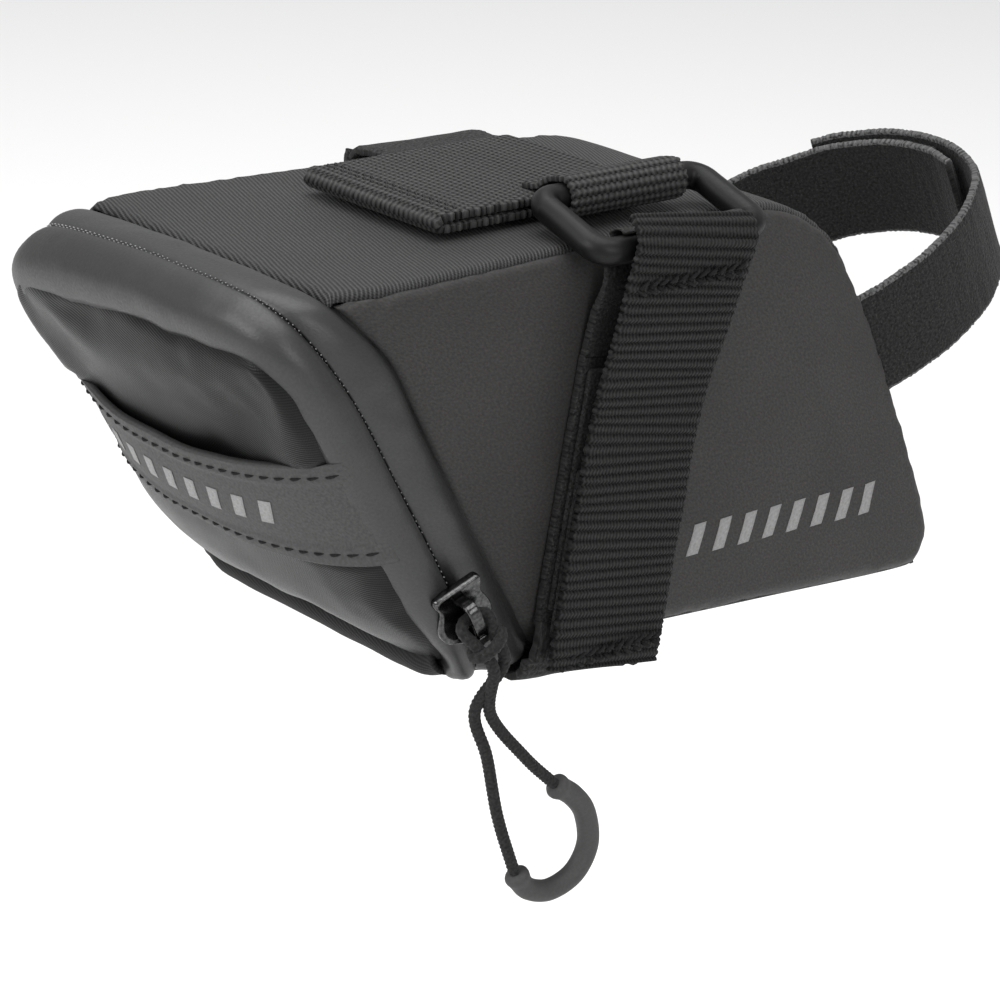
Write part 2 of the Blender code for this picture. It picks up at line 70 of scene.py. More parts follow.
# %% Camera
CAMERA_AT = Vector((-359.7, -443.8, 148.3))
LOOK_TURN, LOOK_DOWN, ROLL = 50.34, 19.74, 1.9      # degrees
turn, down = math.radians(LOOK_TURN), math.radians(LOOK_DOWN)
aim = Vector((math.cos(turn) * math.cos(down), math.sin(turn) * math.cos(down), -math.sin(down)))
camera = bpy.data.objects.new("camera", bpy.data.cameras.new("camera"))
bpy.context.scene.collection.objects.link(camera)
camera.location = CAMERA_AT * MM
camera.rotation_mode = "QUATERNION"
camera.rotation_quaternion = aim.to_track_quat("-Z", "Y") @ Quaternion((0, 0, 1), math.radians(ROLL))
camera.data.sensor_width = 36.0
camera.data.lens = 129.6
camera.data.clip_start = 0.01
bpy.context.scene.camera = camera
print("camera looks along", [round(v, 3) for v in aim])

# %% [markdown]
# ## Light and floor
# Dark cloth only shows its shape in broad, soft light: a wide softbox overhead for the top and the
# rounded zip band, and two smaller ones that reach the lid and the side.  The floor is plain and pale
# and lies well below the zip pull, because the bag hangs in the air.

# %% Lights and floor
def softbox(name, at, size, power):
    """A square lamp that faces the middle of the bag."""
    lamp = bpy.data.lights.new(name, "AREA")
    lamp.size = size
    lamp.energy = power
    ob = bpy.data.objects.new(name, lamp)
    bpy.context.scene.collection.objects.link(ob)
    ob.location = at
    ob.rotation_euler = (Vector((0.02, 0.0, -0.04)) - Vector(at)).to_track_quat("-Z", "Y").to_euler()


softbox("overhead", (0.0, 0.1, 1.3), 1.5, 22.0)
softbox("rear_left", (-1.0, 0.1, 0.55), 0.7, 8.0)
softbox("right", (-0.1, -1.1, 0.5), 0.7, 5.0)
world = bpy.data.worlds.new("studio")
bpy.context.scene.world = world
world.use_nodes = True
world.node_tree.nodes["Background"].inputs["Color"].default_value = (1, 1, 1, 1)
world.node_tree.nodes["Background"].inputs["Strength"].default_value = 0.55
bpy.context.scene.view_settings.view_transform = "Standard"

FLOOR_GAP = 0.14
bpy.ops.mesh.primitive_plane_add(size=8.0, location=(0, 0, cad_low.z - FLOOR_GAP))
floor = bpy.context.object
floor.name = "floor"
floor_mat = bpy.data.materials.new("pale_floor")
floor_mat.use_nodes = True
floor_shader = floor_mat.node_tree.nodes["Principled BSDF"]
floor_shader.inputs["Base Color"].default_value = (0.86, 0.86, 0.86, 1)
floor_shader.inputs["Roughness"].default_value = 0.9
floor.data.materials.append(floor_mat)

# %% [markdown]
# ## Small tools for node trees
# A finish is built from a few effects, each a node group with named sockets: a twill weave, a pile of
# tiny loops, the yarns of webbing, a slow mottle and a pale knitted edge.  Each works in millimetres
# measured along the cloth, so a thread is as wide on the lid as on the top.

# %% Node helpers
def put_value(tree, socket, value):
    if hasattr(value, "links"):
        tree.links.new(value, socket)
    else:
        socket.default_value = value


def calc(tree, op, a, b=0.0):
    """One sum, product, sine or the like of two values or sockets."""
    n = tree.nodes.new("ShaderNodeMath")
    n.operation = op
    put_value(tree, n.inputs[0], a)
    put_value(tree, n.inputs[1], b)
    return n.outputs[0]


def speckle(tree, vector, scale, detail=2.0):
    """Noise from 0 to 1; scale is in cycles a millimetre."""
    n = tree.nodes.new("ShaderNodeTexNoise")
    n.inputs["Scale"].default_value = scale
    n.inputs["Detail"].default_value = detail
    tree.links.new(vector, n.inputs["Vector"])
    return n.outputs["Fac"]


def spread(tree, value, low, high, to_low=0.0, to_high=1.0):
    n = tree.nodes.new("ShaderNodeMapRange")
    put_value(tree, n.inputs["Value"], value)
    for key, v in (("From Min", low), ("From Max", high), ("To Min", to_low), ("To Max", to_high)):
        n.inputs[key].default_value = v
    return n.outputs["Result"]


def new_group(name, numbers, outputs):
    """An empty group with a Vector input, number inputs with defaults, and number outputs."""
    g = bpy.data.node_groups.new(name, "ShaderNodeTree")
    g.interface.new_socket(name="Vector", in_out="INPUT", socket_type="NodeSocketVector")
    for key, value in numbers.items():
        s = g.interface.new_socket(name=key, in_out="INPUT", socket_type="NodeSocketFloat")
        s.default_value = value
    for key in outputs:
        g.interface.new_socket(name=key, in_out="OUTPUT", socket_type="NodeSocketFloat")
    start, end = g.nodes.new("NodeGroupInput"), g.nodes.new("NodeGroupOutput")
    xyz = g.nodes.new("ShaderNodeSeparateXYZ")
    g.links.new(start.outputs["Vector"], xyz.inputs[0])
    return g, start.outputs, end.inputs, xyz.outputs

# %% [markdown]
# ### Twill
# Twill shows fine diagonal ribs: each weft thread steps one warp over.  Two crossing sine waves give
# the rib and the short threads that make it up, and a little noise keeps it from looking printed.

# %% Twill weave group
TURN = 2 * math.pi
twill, t_in, t_out, t_xyz = new_group("twill_weave", {"Rib": 0.5}, ("Height", "Shade"))
wander = calc(twill, "MULTIPLY", speckle(twill, t_in["Vector"], 0.35), 2.2)
slant = calc(twill, "SUBTRACT", t_xyz["Y"], calc(twill, "MULTIPLY", t_xyz["X"], 0.37))
rib_turns = calc(twill, "MULTIPLY", calc(twill, "DIVIDE", slant, t_in["Rib"]), TURN)
rib_wave = calc(twill, "SINE", calc(twill, "ADD", rib_turns, wander))
steep = calc(twill, "ADD", calc(twill, "MULTIPLY", t_xyz["X"], 1.3), t_xyz["Y"])
thread_turns = calc(twill, "MULTIPLY", calc(twill, "DIVIDE", steep, t_in["Rib"]), TURN)
thread_wave = calc(twill, "MULTIPLY", calc(twill, "SINE", thread_turns), 0.35)
twill_height = spread(twill, calc(twill, "ADD", rib_wave, thread_wave), -1.35, 1.35)
twill.links.new(twill_height, t_out["Height"])
fleck = calc(twill, "MULTIPLY", calc(twill, "SUBTRACT", speckle(twill, t_in["Vector"], 2.4), 0.5), 0.6)
twill_shade = calc(twill, "ADD", calc(twill, "MULTIPLY", twill_height, 0.95), fleck)
twill.links.new(twill_shade, t_out["Shade"])

# %% [markdown]
# ### Pile
# The soft half of a hook-and-loop strap is a mat of tiny loops.  Up close it is a grain of dark
# hollows with a few bright fibres that catch the light.

# %% Loop pile group
pile, p_in, p_out, _ = new_group("loop_pile", {"Specks": 0.4}, ("Height", "Shade"))
grain = speckle(pile, p_in["Vector"], 1.9, 4.0)
pile.links.new(grain, p_out["Height"])
tufts = spread(pile, grain, 0.34, 0.7)
bright = spread(pile, speckle(pile, p_in["Vector"], 3.3, 1.0), 0.62, 0.74)
pile_shade = calc(pile, "ADD", calc(pile, "MULTIPLY", tufts, 0.55),
                  calc(pile, "MULTIPLY", bright, p_in["Specks"]))
pile.links.new(pile_shade, p_out["Shade"])

# %% [markdown]
# ### Webbing yarns
# Webbing is woven so tightly that its surface is rows of short yarns.  The ribs are modelled in the mesh;
# this group adds the yarns that lie along each rib, offset from one rib to the next.  Its Shade also darkens
# the colour in the gaps between the ribs, which is painted shade.

# %% Webbing yarns group
yarns, y_in, y_out, y_xyz = new_group("webbing_weave_gap_shade", {"Rib": 1.6, "Yarn": 0.7},
                                      ("Height", "Shade"))
row = calc(yarns, "DIVIDE", y_xyz["Y"], y_in["Rib"])
odd_row = calc(yarns, "MULTIPLY", calc(yarns, "ROUND", row), 0.5)
place = calc(yarns, "ADD", calc(yarns, "DIVIDE", y_xyz["X"], y_in["Yarn"]), odd_row)
yarn_wave = calc(yarns, "SINE", calc(yarns, "MULTIPLY", place, TURN))
# the rib's phase raises the bump and also darkens the colour between the ribs: painted shade in the gaps
rib_bump_and_gap_shade = calc(yarns, "COSINE", calc(yarns, "MULTIPLY", row, TURN))
yarn_bump_and_gap_shade = spread(yarns, calc(yarns, "ADD", yarn_wave, rib_bump_and_gap_shade), -2.0, 2.0)
yarns.links.new(yarn_bump_and_gap_shade, y_out["Height"])
lint = calc(yarns, "SUBTRACT", speckle(yarns, y_in["Vector"], 2.2, 3.0), 0.5)
yarns.links.new(calc(yarns, "ADD", yarn_bump_and_gap_shade, lint), y_out["Shade"])

# %% [markdown]
# ### Mottle and edges
# Cloth that has been handled is never one even tone, so a slow mottle darkens and lightens it.  A
# woven strap also has a tighter edge, where a paler yarn is knitted in.

# %% Mottle and edge groups
mottle, m_in, m_out, _ = new_group("soft_mottle", {"Amount": 0.25}, ("Tone",))
slow = speckle(mottle, m_in["Vector"], 0.045, 3.0)
quick = speckle(mottle, m_in["Vector"], 0.9, 3.0)
both = calc(mottle, "ADD", calc(mottle, "MULTIPLY", slow, 0.7), calc(mottle, "MULTIPLY", quick, 0.3))
lean = calc(mottle, "MULTIPLY", calc(mottle, "SUBTRACT", both, 0.5), m_in["Amount"])
mottle.links.new(calc(mottle, "ADD", calc(mottle, "MULTIPLY", lean, 2.0), 1.0), m_out["Tone"])

edge, e_in, e_out, e_xyz = new_group("knitted_edge", {"Width": 20.0, "Edge": 0.6}, ("Mask",))
folded = calc(edge, "MODULO", e_xyz["X"], e_in["Width"])
from_middle = calc(edge, "ABSOLUTE", calc(edge, "SUBTRACT", folded,
                                          calc(edge, "MULTIPLY", e_in["Width"], 0.5)))
to_edge = calc(edge, "SUBTRACT", calc(edge, "MULTIPLY", e_in["Width"], 0.5), from_middle)
near = calc(edge, "LESS_THAN", to_edge, e_in["Edge"])
knit = spread(edge, speckle(edge, e_in["Vector"], 2.0), 0.35, 0.6)
edge.links.new(calc(edge, "MULTIPLY", near, knit), e_out["Mask"])
print("effects:", [g.name for g in (twill, pile, yarns, mottle, edge)])

# %% [markdown]
# ## Finishes
# One builder makes every material: a dark and a light tone mixed by an effect's shade, a mottle over
# both, a roughness that follows the same shade, and a bump from the effect's height.  Sheen is the
# soft glow of fibres that stand up, and gloss is how strongly the surface mirrors the lamps.

# %% Finish builder
def grey(tone, warm=0.0):
    return (tone * (1 + warm), tone, tone * (1 - warm * 0.4), 1.0)


def place_group(tree, group, coords, **numbers):
    n = tree.nodes.new("ShaderNodeGroup")
    n.node_tree = group
    tree.links.new(coords, n.inputs["Vector"])
    for key, value in numbers.items():
        n.inputs[key].default_value = value
    return n


def mix_colour(tree, factor, a, b, blend="MIX"):
    n = tree.nodes.new("ShaderNodeMix")
    n.data_type = "RGBA"
    n.blend_type = blend
    for i, value in ((0, factor), (6, a), (7, b)):
        put_value(tree, n.inputs[i], value)
    return n.outputs[2]


def finish(name, dark, light, rough, effect, depth, amount=0.25, sheen=0.0, metal=0.0,
           gloss=0.3, edge_tone=None, strap_w=0.0, by_object=False, **numbers):
    """A material; rough is (on the light tone, on the dark tone), depth is the bump in mm."""
    mat = bpy.data.materials.new(name)
    mat.use_nodes = True
    tree = mat.node_tree
    shader = tree.nodes["Principled BSDF"]
    if by_object:
        where = tree.nodes.new("ShaderNodeTexCoord").outputs["Object"]
        scale = tree.nodes.new("ShaderNodeVectorMath")
        scale.operation = "SCALE"
        scale.inputs["Scale"].default_value = 1 / MM
        tree.links.new(where, scale.inputs[0])
        coords = scale.outputs[0]
    else:
        uv = tree.nodes.new("ShaderNodeUVMap")
        uv.uv_map = "Cloth"
        coords = uv.outputs["UV"]
    weave = place_group(tree, effect, coords, **numbers)
    tone = place_group(tree, mottle, coords, Amount=amount)
    colour = mix_colour(tree, weave.outputs["Shade"], dark, light)
    grey_tone = tree.nodes.new("ShaderNodeCombineColor")
    for i in range(3):
        tree.links.new(tone.outputs["Tone"], grey_tone.inputs[i])
    colour = mix_colour(tree, 1.0, colour, grey_tone.outputs[0], "MULTIPLY")
    if edge_tone:
        rim = place_group(tree, edge, coords, Width=strap_w)
        colour = mix_colour(tree, rim.outputs["Mask"], colour, edge_tone)
    tree.links.new(colour, shader.inputs["Base Color"])
    tree.links.new(spread(tree, weave.outputs["Shade"], 0.0, 1.0, rough[1], rough[0]),
                   shader.inputs["Roughness"])
    bump = tree.nodes.new("ShaderNodeBump")
    bump.inputs["Distance"].default_value = depth * MM
    tree.links.new(weave.outputs["Height"], bump.inputs["Height"])
    tree.links.new(bump.outputs["Normal"], shader.inputs["Normal"])
    shader.inputs["Metallic"].default_value = metal
    shader.inputs["Specular IOR Level"].default_value = gloss
    shader.inputs["Sheen Weight"].default_value = sheen
    shader.inputs["Sheen Roughness"].default_value = 0.5
    return mat

# %% The finishes
TWILL = finish("twill_nylon", grey(0.001, .02), grey(0.048, .0), (0.5, 0.75), twill, 0.16, 0.25,
               sheen=0.02, Rib=0.74)
# the lid's twill is the top's twill in darker tones: painted shade of the lid, which faces down and back
# under the band
SHADED_LID_TWILL = finish("shaded_lid_twill", grey(0.002, .02), grey(0.010, .0), (0.26, 0.42), twill, 0.04, 0.3,
                   gloss=0.15, Rib=0.5)
COATED = finish("coated_side", grey(0.018, .06), grey(0.044, .05), (0.55, 0.72), pile, 0.02, 0.35,
                sheen=0.02, Specks=0.3)
BAND = finish("satin_film", grey(0.009), grey(0.022), (0.34, 0.5), pile, 0.04, 0.4, gloss=0.6,
              Specks=0.25)
REFLECT = finish("reflective_grey", grey(0.034, .02), grey(0.066, .01), (0.5, 0.65), pile, 0.02, 0.25,
                 Specks=0.15)
PRINT = finish("pale_print", grey(0.20, .01), grey(0.32, .01), (0.5, 0.65), pile, 0.01, 0.35)
# the dark tones of both webbings are painted shade in the gaps between their ribs, mixed with the yarns' own
# tone
WEBBING = finish("black_webbing", grey(0.0005), grey(0.025, .02), (0.7, 0.9), yarns, 0.2, 0.2,
                 sheen=0.02, gloss=0.12, Rib=1.6, Yarn=0.75)
PAD_WEB = finish("pad_webbing", grey(0.001), grey(0.058, .02), (0.7, 0.9), yarns, 0.3, 0.25,
                 sheen=0.03, gloss=0.15, Rib=1.3, Yarn=1.2)
PILE = finish("loop_face", grey(0.006), grey(0.062, .02), (0.85, 0.98), pile, 0.2, 0.2, sheen=0.04,
              gloss=0.15, Specks=0.7)
POST = finish("post_strap_face", grey(0.006), grey(0.042, .02), (0.85, 0.98), pile, 0.22, 0.25,
              sheen=0.06, gloss=0.15, edge_tone=grey(0.11), strap_w=20.0, Specks=0.9)
# near-black tones: painted shade of the underside, used on the floor and the hinge strip
UNDERSIDE_SHADE_TAPE = finish("underside_shade_tape", grey(0.003), grey(0.010), (0.6, 0.8), twill, 0.05, 0.2, gloss=0.2,
                    Rib=0.6)
GLOSS = finish("gloss_plastic", grey(0.003), grey(0.008), (0.34, 0.46), pile, 0.006, 0.3,
               gloss=0.22, Specks=0.05)
STEEL = finish("black_steel", grey(0.04), grey(0.14), (0.12, 0.22), pile, 0.004, 0.3, metal=1.0,
               by_object=True)
CORD = finish("braid_cord", grey(0.008), grey(0.034, .02), (0.7, 0.9), pile, 0.08, 0.2, sheen=0.04,
              gloss=0.2, Specks=0.4)
RUBBER = finish("matte_rubber", grey(0.040, .01), grey(0.056, .01), (0.5, 0.62), pile, 0.02, 0.2,
                Specks=0.1)
PAD_THREAD = finish("webbing_thread", grey(0.015), grey(0.05), (0.6, 0.8), pile, 0.05, gloss=0.2,
                    by_object=True)
THREAD = finish("dark_thread", grey(0.004), grey(0.014), (0.6, 0.8), pile, 0.05, gloss=0.2,
                by_object=True)
# the coil's pale tones are painted glint on the tips
COIL_GLINT = finish("coil_tip_glint", grey(0.16), grey(0.36), (0.3, 0.45), pile, 0.01, by_object=True)
BOARD = finish("board", grey(0.012), grey(0.035), (0.5, 0.7), pile, 0.05, by_object=True)
INNER = finish("inner_binding", grey(0.008), grey(0.03), (0.7, 0.9), twill, 0.08, by_object=True,
               Rib=0.8)
print("finishes:", len(bpy.data.materials) - 1)

# %% [markdown]
# ## Small tools for cloth
# Every sewn piece starts as rows of points.  `skin` joins them into quads and writes a map named
# Cloth that holds millimetres across and along the piece, which is what the weaves follow.

# %% Lines
def smooth_line(points, steps):
    """Even steps on a Catmull-Rom curve through the route points."""
    pts = [Vector(p) for p in points]
    pts = [pts[0] * 2 - pts[1]] + pts + [pts[-1] * 2 - pts[-2]]
    fine = []
    for i in range(1, len(pts) - 2):
        p0, p1, p2, p3 = pts[i - 1:i + 3]
        for k in range(24):
            t = k / 24.0
            fine.append(0.5 * ((2 * p1) + (p2 - p0) * t
                               + (2 * p0 - 5 * p1 + 4 * p2 - p3) * t * t
                               + (3 * p1 - p0 - 3 * p2 + p3) * t ** 3))
    fine.append(pts[-2])
    run = lengths(fine)
    out, k = [], 0
    for i in range(steps + 1):
        want = run[-1] * i / steps
        while k < len(run) - 2 and run[k + 1] < want:
            k += 1
        f = (want - run[k]) / max(run[k + 1] - run[k], 1e-9)
        out.append(fine[k].lerp(fine[k + 1], min(max(f, 0.0), 1.0)))
    return out


def lengths(line):
    """How far each point is along its line."""
    run = [0.0]
    for a, b in zip(line, line[1:]):
        run.append(run[-1] + (b - a).length)
    return run


def spaced(points, gap):
    """A smooth line with a point about every gap millimetres."""
    rough_line = smooth_line(points, 200)
    return smooth_line(points, max(2, round(lengths(rough_line)[-1] / gap)))


def bell(x, width):
    return math.exp(-(x / width) ** 2)


def roll_in(d, r):
    """How far a rounded edge of radius r has turned in, d before its end."""
    if d >= r:
        return 0.0
    return r - math.sqrt(max(r * r - (r - d) ** 2, 0.0))


def ripple(*at):
    """Smooth noise from about -1 to 1, the same each run."""
    return noise.noise(Vector(at))

# %% Skins
def shown(name, mesh, mat):
    """An object in the scene from a mesh and its finish."""
    mesh.materials.append(mat)
    mesh.shade_smooth()
    ob = bpy.data.objects.new(name, mesh)
    bpy.context.scene.collection.objects.link(ob)
    return ob


def skin(name, rows, mat, us=None, vs=None, wrap=False, caps=False, flip=False, wall=0.0):
    """Rows of points (mm) as one smooth quad mesh with the Cloth map."""
    cols = len(rows[0])
    mid_row, mid_col = rows[len(rows) // 2], [r[cols // 2] for r in rows]
    us = us or lengths(mid_row + ([mid_row[0]] if wrap else []))
    vs = vs or lengths(mid_col)
    verts = [tuple(Vector(p) * MM) for r in rows for p in r]
    faces, uvs = [], []
    for i in range(len(rows) - 1):
        for j in range(cols if wrap else cols - 1):
            k = (j + 1) % cols
            quad = [(i, j, j), (i, k, j + 1), (i + 1, k, j + 1), (i + 1, j, j)]
            if flip:
                quad.reverse()
            faces.append([a * cols + b for a, b, c in quad])
            uvs += [(us[c], vs[a]) for a, b, c in quad]
    if caps:
        for i, order in ((0, range(cols - 1, -1, -1)), (len(rows) - 1, range(cols))):
            order = list(order)
            if flip:
                order.reverse()
            faces.append([i * cols + j for j in order])
            uvs += [(us[j], vs[i]) for j in order]
    mesh = bpy.data.meshes.new(name)
    mesh.from_pydata(verts, [], faces)
    layer = mesh.uv_layers.new(name="Cloth")
    layer.data.foreach_set("uv", [x for uv in uvs for x in uv])
    ob = shown(name, mesh, mat)
    if wall:
        solid = ob.modifiers.new("wall", "SOLIDIFY")
        solid.thickness = wall * MM
        solid.offset = -1.0
    return ob


def fit(ob, body, slot, *nodes):
    """Rides a piece on its body and hides the plain solids it stands for; slot is not used."""
    if body:
        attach(ob, body)
    if nodes:
        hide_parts(*nodes)
    return ob


def tube(name, line, radius, mat, around=16, wrap_ends=False):
    """A round section along a line; radius is a number or a function of (mm along, angle)."""
    run = lengths(line)
    rows, side = [], None
    for i, c in enumerate(line):
        a, b = line[max(i - 1, 0)], line[min(i + 1, len(line) - 1)]
        if wrap_ends:
            a, b = line[i - 1], line[(i + 1) % len(line)]
        along = (b - a).normalized()
        side = side or along.orthogonal()
        side = (side - along * side.dot(along)).normalized()
        up = along.cross(side)
        row = []
        for k in range(around):
            t = TURN * k / around
            r = radius(run[i], t) if callable(radius) else radius
            row.append(c + side * (r * math.cos(t)) + up * (r * math.sin(t)))
        rows.append(row)
    if wrap_ends:
        rows.append(rows[0])
    return skin(name, rows, mat, vs=(run + [run[-1] + 1]) if wrap_ends else run, wrap=True,
                caps=not wrap_ends)

# %% [markdown]
# ## Straps
# A strap is a flat section with soft edges, swept along its line.  Ribs are half-round ridges across
# it, and beads are the loops of the weft that turn back at each edge, which give a selvedge its
# knobbly outline.

# %% Strap builder
ACROSS = [math.sin(math.pi / 2 * x) for x in (-1, -.93, -.8, -.6, -.4, -.2, 0, .2, .4, .6, .8, .93, 1)]


def strap(name, line, wides, width, thick, mat, pitch=0.0, rib=0.0, bead=0.0, fuzz=0.0):
    """thick may be a list; wides gives the direction across the strap at each point."""
    run = lengths(line)
    rows = []
    for i, c in enumerate(line):
        along = (line[min(i + 1, len(line) - 1)] - line[max(i - 1, 0)]).normalized()
        w = Vector(wides[i])
        w = (w - along * w.dot(along)).normalized()
        n = along.cross(w).normalized()
        t = thick[i] if isinstance(thick, list) else thick
        lift = rib * (abs(math.cos(math.pi * run[i] / pitch)) ** 0.7 - 0.4) if pitch else 0.0
        hw = width / 2 + bead * (abs(math.sin(math.pi * run[i] / 1.1)) - 0.5)
        row = []
        for s, order in ((1, ACROSS), (-1, ACROSS[::-1])):
            for a in order:
                edge_shape = (1 - abs(a) ** 14) ** 0.5 * 0.6 + 0.4
                fluff = fuzz * ripple(c.x * 1.3 + a * 9, c.y * 1.3, c.z * 1.3 + s * 5)
                bulk = bead * 0.5 * bell(abs(a) - 1, 0.06)
                row.append(c + w * (a * hw) + n * s * ((t / 2 + lift + bulk) * edge_shape + fluff))
        rows.append(row)
    half = [(a + 1) / 2 * width for a in ACROSS]
    us = half + [width + (1 - a) / 2 * width for a in ACROSS[::-1]] + [2 * width]
    return skin(name, rows, mat, us=us, vs=run, wrap=True, caps=True, flip=True)

# %% [markdown]
# ## Stitches
# A stitch is a short thread that dips into the cloth at both ends.  All the stitches of one seam are
# one mesh of little arched tubes.

# %% Stitch builder
def stitches(name, pairs, radius, mat):
    """pairs holds (start, end, outward); each becomes one arched thread."""
    verts, faces = [], []
    for a, b, out in pairs:
        along = (b - a).normalized()
        side = along.cross(out).normalized()
        base = len(verts)
        for i in range(5):
            u = i / 4
            c = a.lerp(b, u) + out * (radius * (4 * u * (1 - u) * 1.4 - 0.6))
            r = radius * (0.55 + 0.45 * math.sin(math.pi * u))
            for k in range(6):
                t = TURN * k / 6
                verts.append((c + side * (r * math.cos(t)) + out * (r * math.sin(t))) * MM)
        for i in range(4):
            for k in range(6):
                m = (k + 1) % 6
                low = base + i * 6
                faces.append([low + k, low + m, low + 6 + m, low + 6 + k])
        faces.append([base + k for k in range(5, -1, -1)])
        faces.append([base + 24 + k for k in range(6)])
    mesh = bpy.data.meshes.new(name)
    mesh.from_pydata([tuple(v) for v in verts], [], faces)
    return shown(name, mesh, mat)

# %% [markdown]
# ## The slider's own directions
# The zip slider sits low on the right of the mouth.  Three directions on it place the plate, its
# hoop and the cord that is tied there: along the zip, across it, and out of the bag.

# %% Slider directions
LID_OUT = Vector((-0.866, 0.0, -0.5))       # the lid faces this way
LID_DOWN = Vector((0.5, 0.0, -0.866))       # down along the lid
SLIDER_AT = Vector((-30.4, -36.9, -57.6))
zip_way = (Vector((-24.8, -34.3, -67.9)) - Vector((-31.2, -35.4, -54.5))).normalized()
zip_out = (LID_OUT * 0.12 + Vector((0, -0.99, 0))).normalized()
zip_out = (zip_out - zip_way * zip_out.dot(zip_way)).normalized()
zip_cross = zip_way.cross(zip_out).normalized()


def on_slider(a, c, h):
    """A point a along the zip, c across it and h out from the tape."""
    return SLIDER_AT + zip_way * a + zip_cross * c + zip_out * h


# %% [markdown]
# ## The pull cord
# A thin braided cord is tied to the slider's hoop and hangs from it, and a rubber grip holds its two
# ends.  Each half is its own limp cord, from the hoop to the grip.  A braid is two sets of strands
# that wind in opposite ways, so the radius of the tube rises where a strand passes over.

# %% Cord and grip
CORD_D = 2.0
half_low = [on_slider(0.0, 0.0, 3.85), on_slider(0.0, -1.2, 3.85), on_slider(0.6, -2.5, 5.0),
            on_slider(3.6, -1.7, 6.6), on_slider(8.5, -1.1, 7.6), (-28.8, -40.2, -74.4),
            (-26.2, -40.4, -83.0), (-23.6, -40.4, -94.0), (-19.4, -40.0, -105.0)]
half_high = [on_slider(0.0, 0.0, 3.85), on_slider(0.0, 1.2, 3.85), on_slider(0.6, 2.5, 5.0),
             on_slider(3.6, 1.7, 6.6), on_slider(8.0, 1.0, 8.0), (-26.4, -41.2, -75.2),
             (-18.8, -41.0, -84.6), (-12.2, -40.6, -91.0)]
STRANDS = 5


def braid(along, angle):
    k = TURN * along / 4.4
    over = abs(math.cos((STRANDS * angle + k * STRANDS) / 2) * math.cos((STRANDS * angle - k * STRANDS) / 2))
    return CORD_D / 2 * (0.86 + 0.2 * over ** 0.6)


grip_route = [(-19.3, -40.0, -105.1), (-18.8, -40.0, -105.9), (-16.4, -40.0, -108.8), (-11.8, -40.1, -110.2),
              (-6.8, -40.3, -108.4), (-4.2, -40.4, -103.8), (-5.2, -40.5, -98.0),
              (-8.0, -40.6, -94.2), (-11.4, -40.6, -91.7), (-12.2, -40.6, -91.1)]
grip_line = spaced(grip_route, 0.4)
grip_long = lengths(grip_line)[-1]


def grip_radius(along, _angle):
    end = min(along, grip_long - along)
    lip = 0.28 * bell(end - 1.1, 0.9)
    return (1.86 + lip) * math.sqrt(max(1 - (1 - min(end / 0.7, 1.0)) ** 2, 0.16))


grip = fit(tube("pull_grip_rubber", grip_line, grip_radius, RUBBER, 28), "pull", "rubber", "pull_grip")
for side, route in (("low", half_low), ("high", half_high)):
    line = spaced(route, 0.17)
    ob = fit(tube("pull_cord_" + side, line, braid, CORD, 20), "pull", "cord", "pull_cord")
    print(ob.name, "is", round(lengths(line)[-1], 1), "mm long")

# the turn of the hitch that lies across both halves, just below the hoop
hitch_route = []
for k in range(12):
    t = TURN * k / 12
    hitch_route.append(on_slider(3.9 + 0.7 * math.cos(t), 2.75 * math.cos(t), 6.7 + 1.75 * math.sin(t)))
hitch_line = spaced(hitch_route + hitch_route[:1], 0.17)[:-1]
fit(tube("pull_hitch", hitch_line, braid, CORD, 20, wrap_ends=True), "pull", "cord")

# %% [markdown]
# ## The bag's outline
# The body is a wedge: flat on top, leaning forward at the rear mouth, and running out to a point at
# the front foot.  These few numbers give its half width, its mouth line, its floor and its front.

# %% Outline
REAR_X, HALF_W0, TAPER, TOP_Z = -54.0, 36.0, 0.08, -4.2


def half_width(x):
    return HALF_W0 - TAPER * (x - REAR_X)


def mouth_x(z):
    return -49.4 + 0.577 * (-5.0 - z)


def floor_z(x):
    return -72.5 - 0.09 * x


def front_x(z):
    return 62.5 - 0.5098 * (z + 19.0)


STRAP_W, STRAP_X0, LAY = 25.0, 12.5, 1.25


def strap_x(z):
    """The long strap leans back as it goes down."""
    return STRAP_X0 + (z + 3.0) * 13.0 / 71.0


def eased(n, ends=0.75):
    """n steps from 0 to 1, closer together near both ends."""
    return [(1 - ends) * k / n + ends * (0.5 - 0.5 * math.cos(math.pi * k / n)) for k in range(n + 1)]

# %% [markdown]
# ## Top panel
# The top is one piece of twill.  It rolls over the front edge and turns down into the side seams.
# Between the seams it sags a little, and the seam's stitches draw it into small puckers.

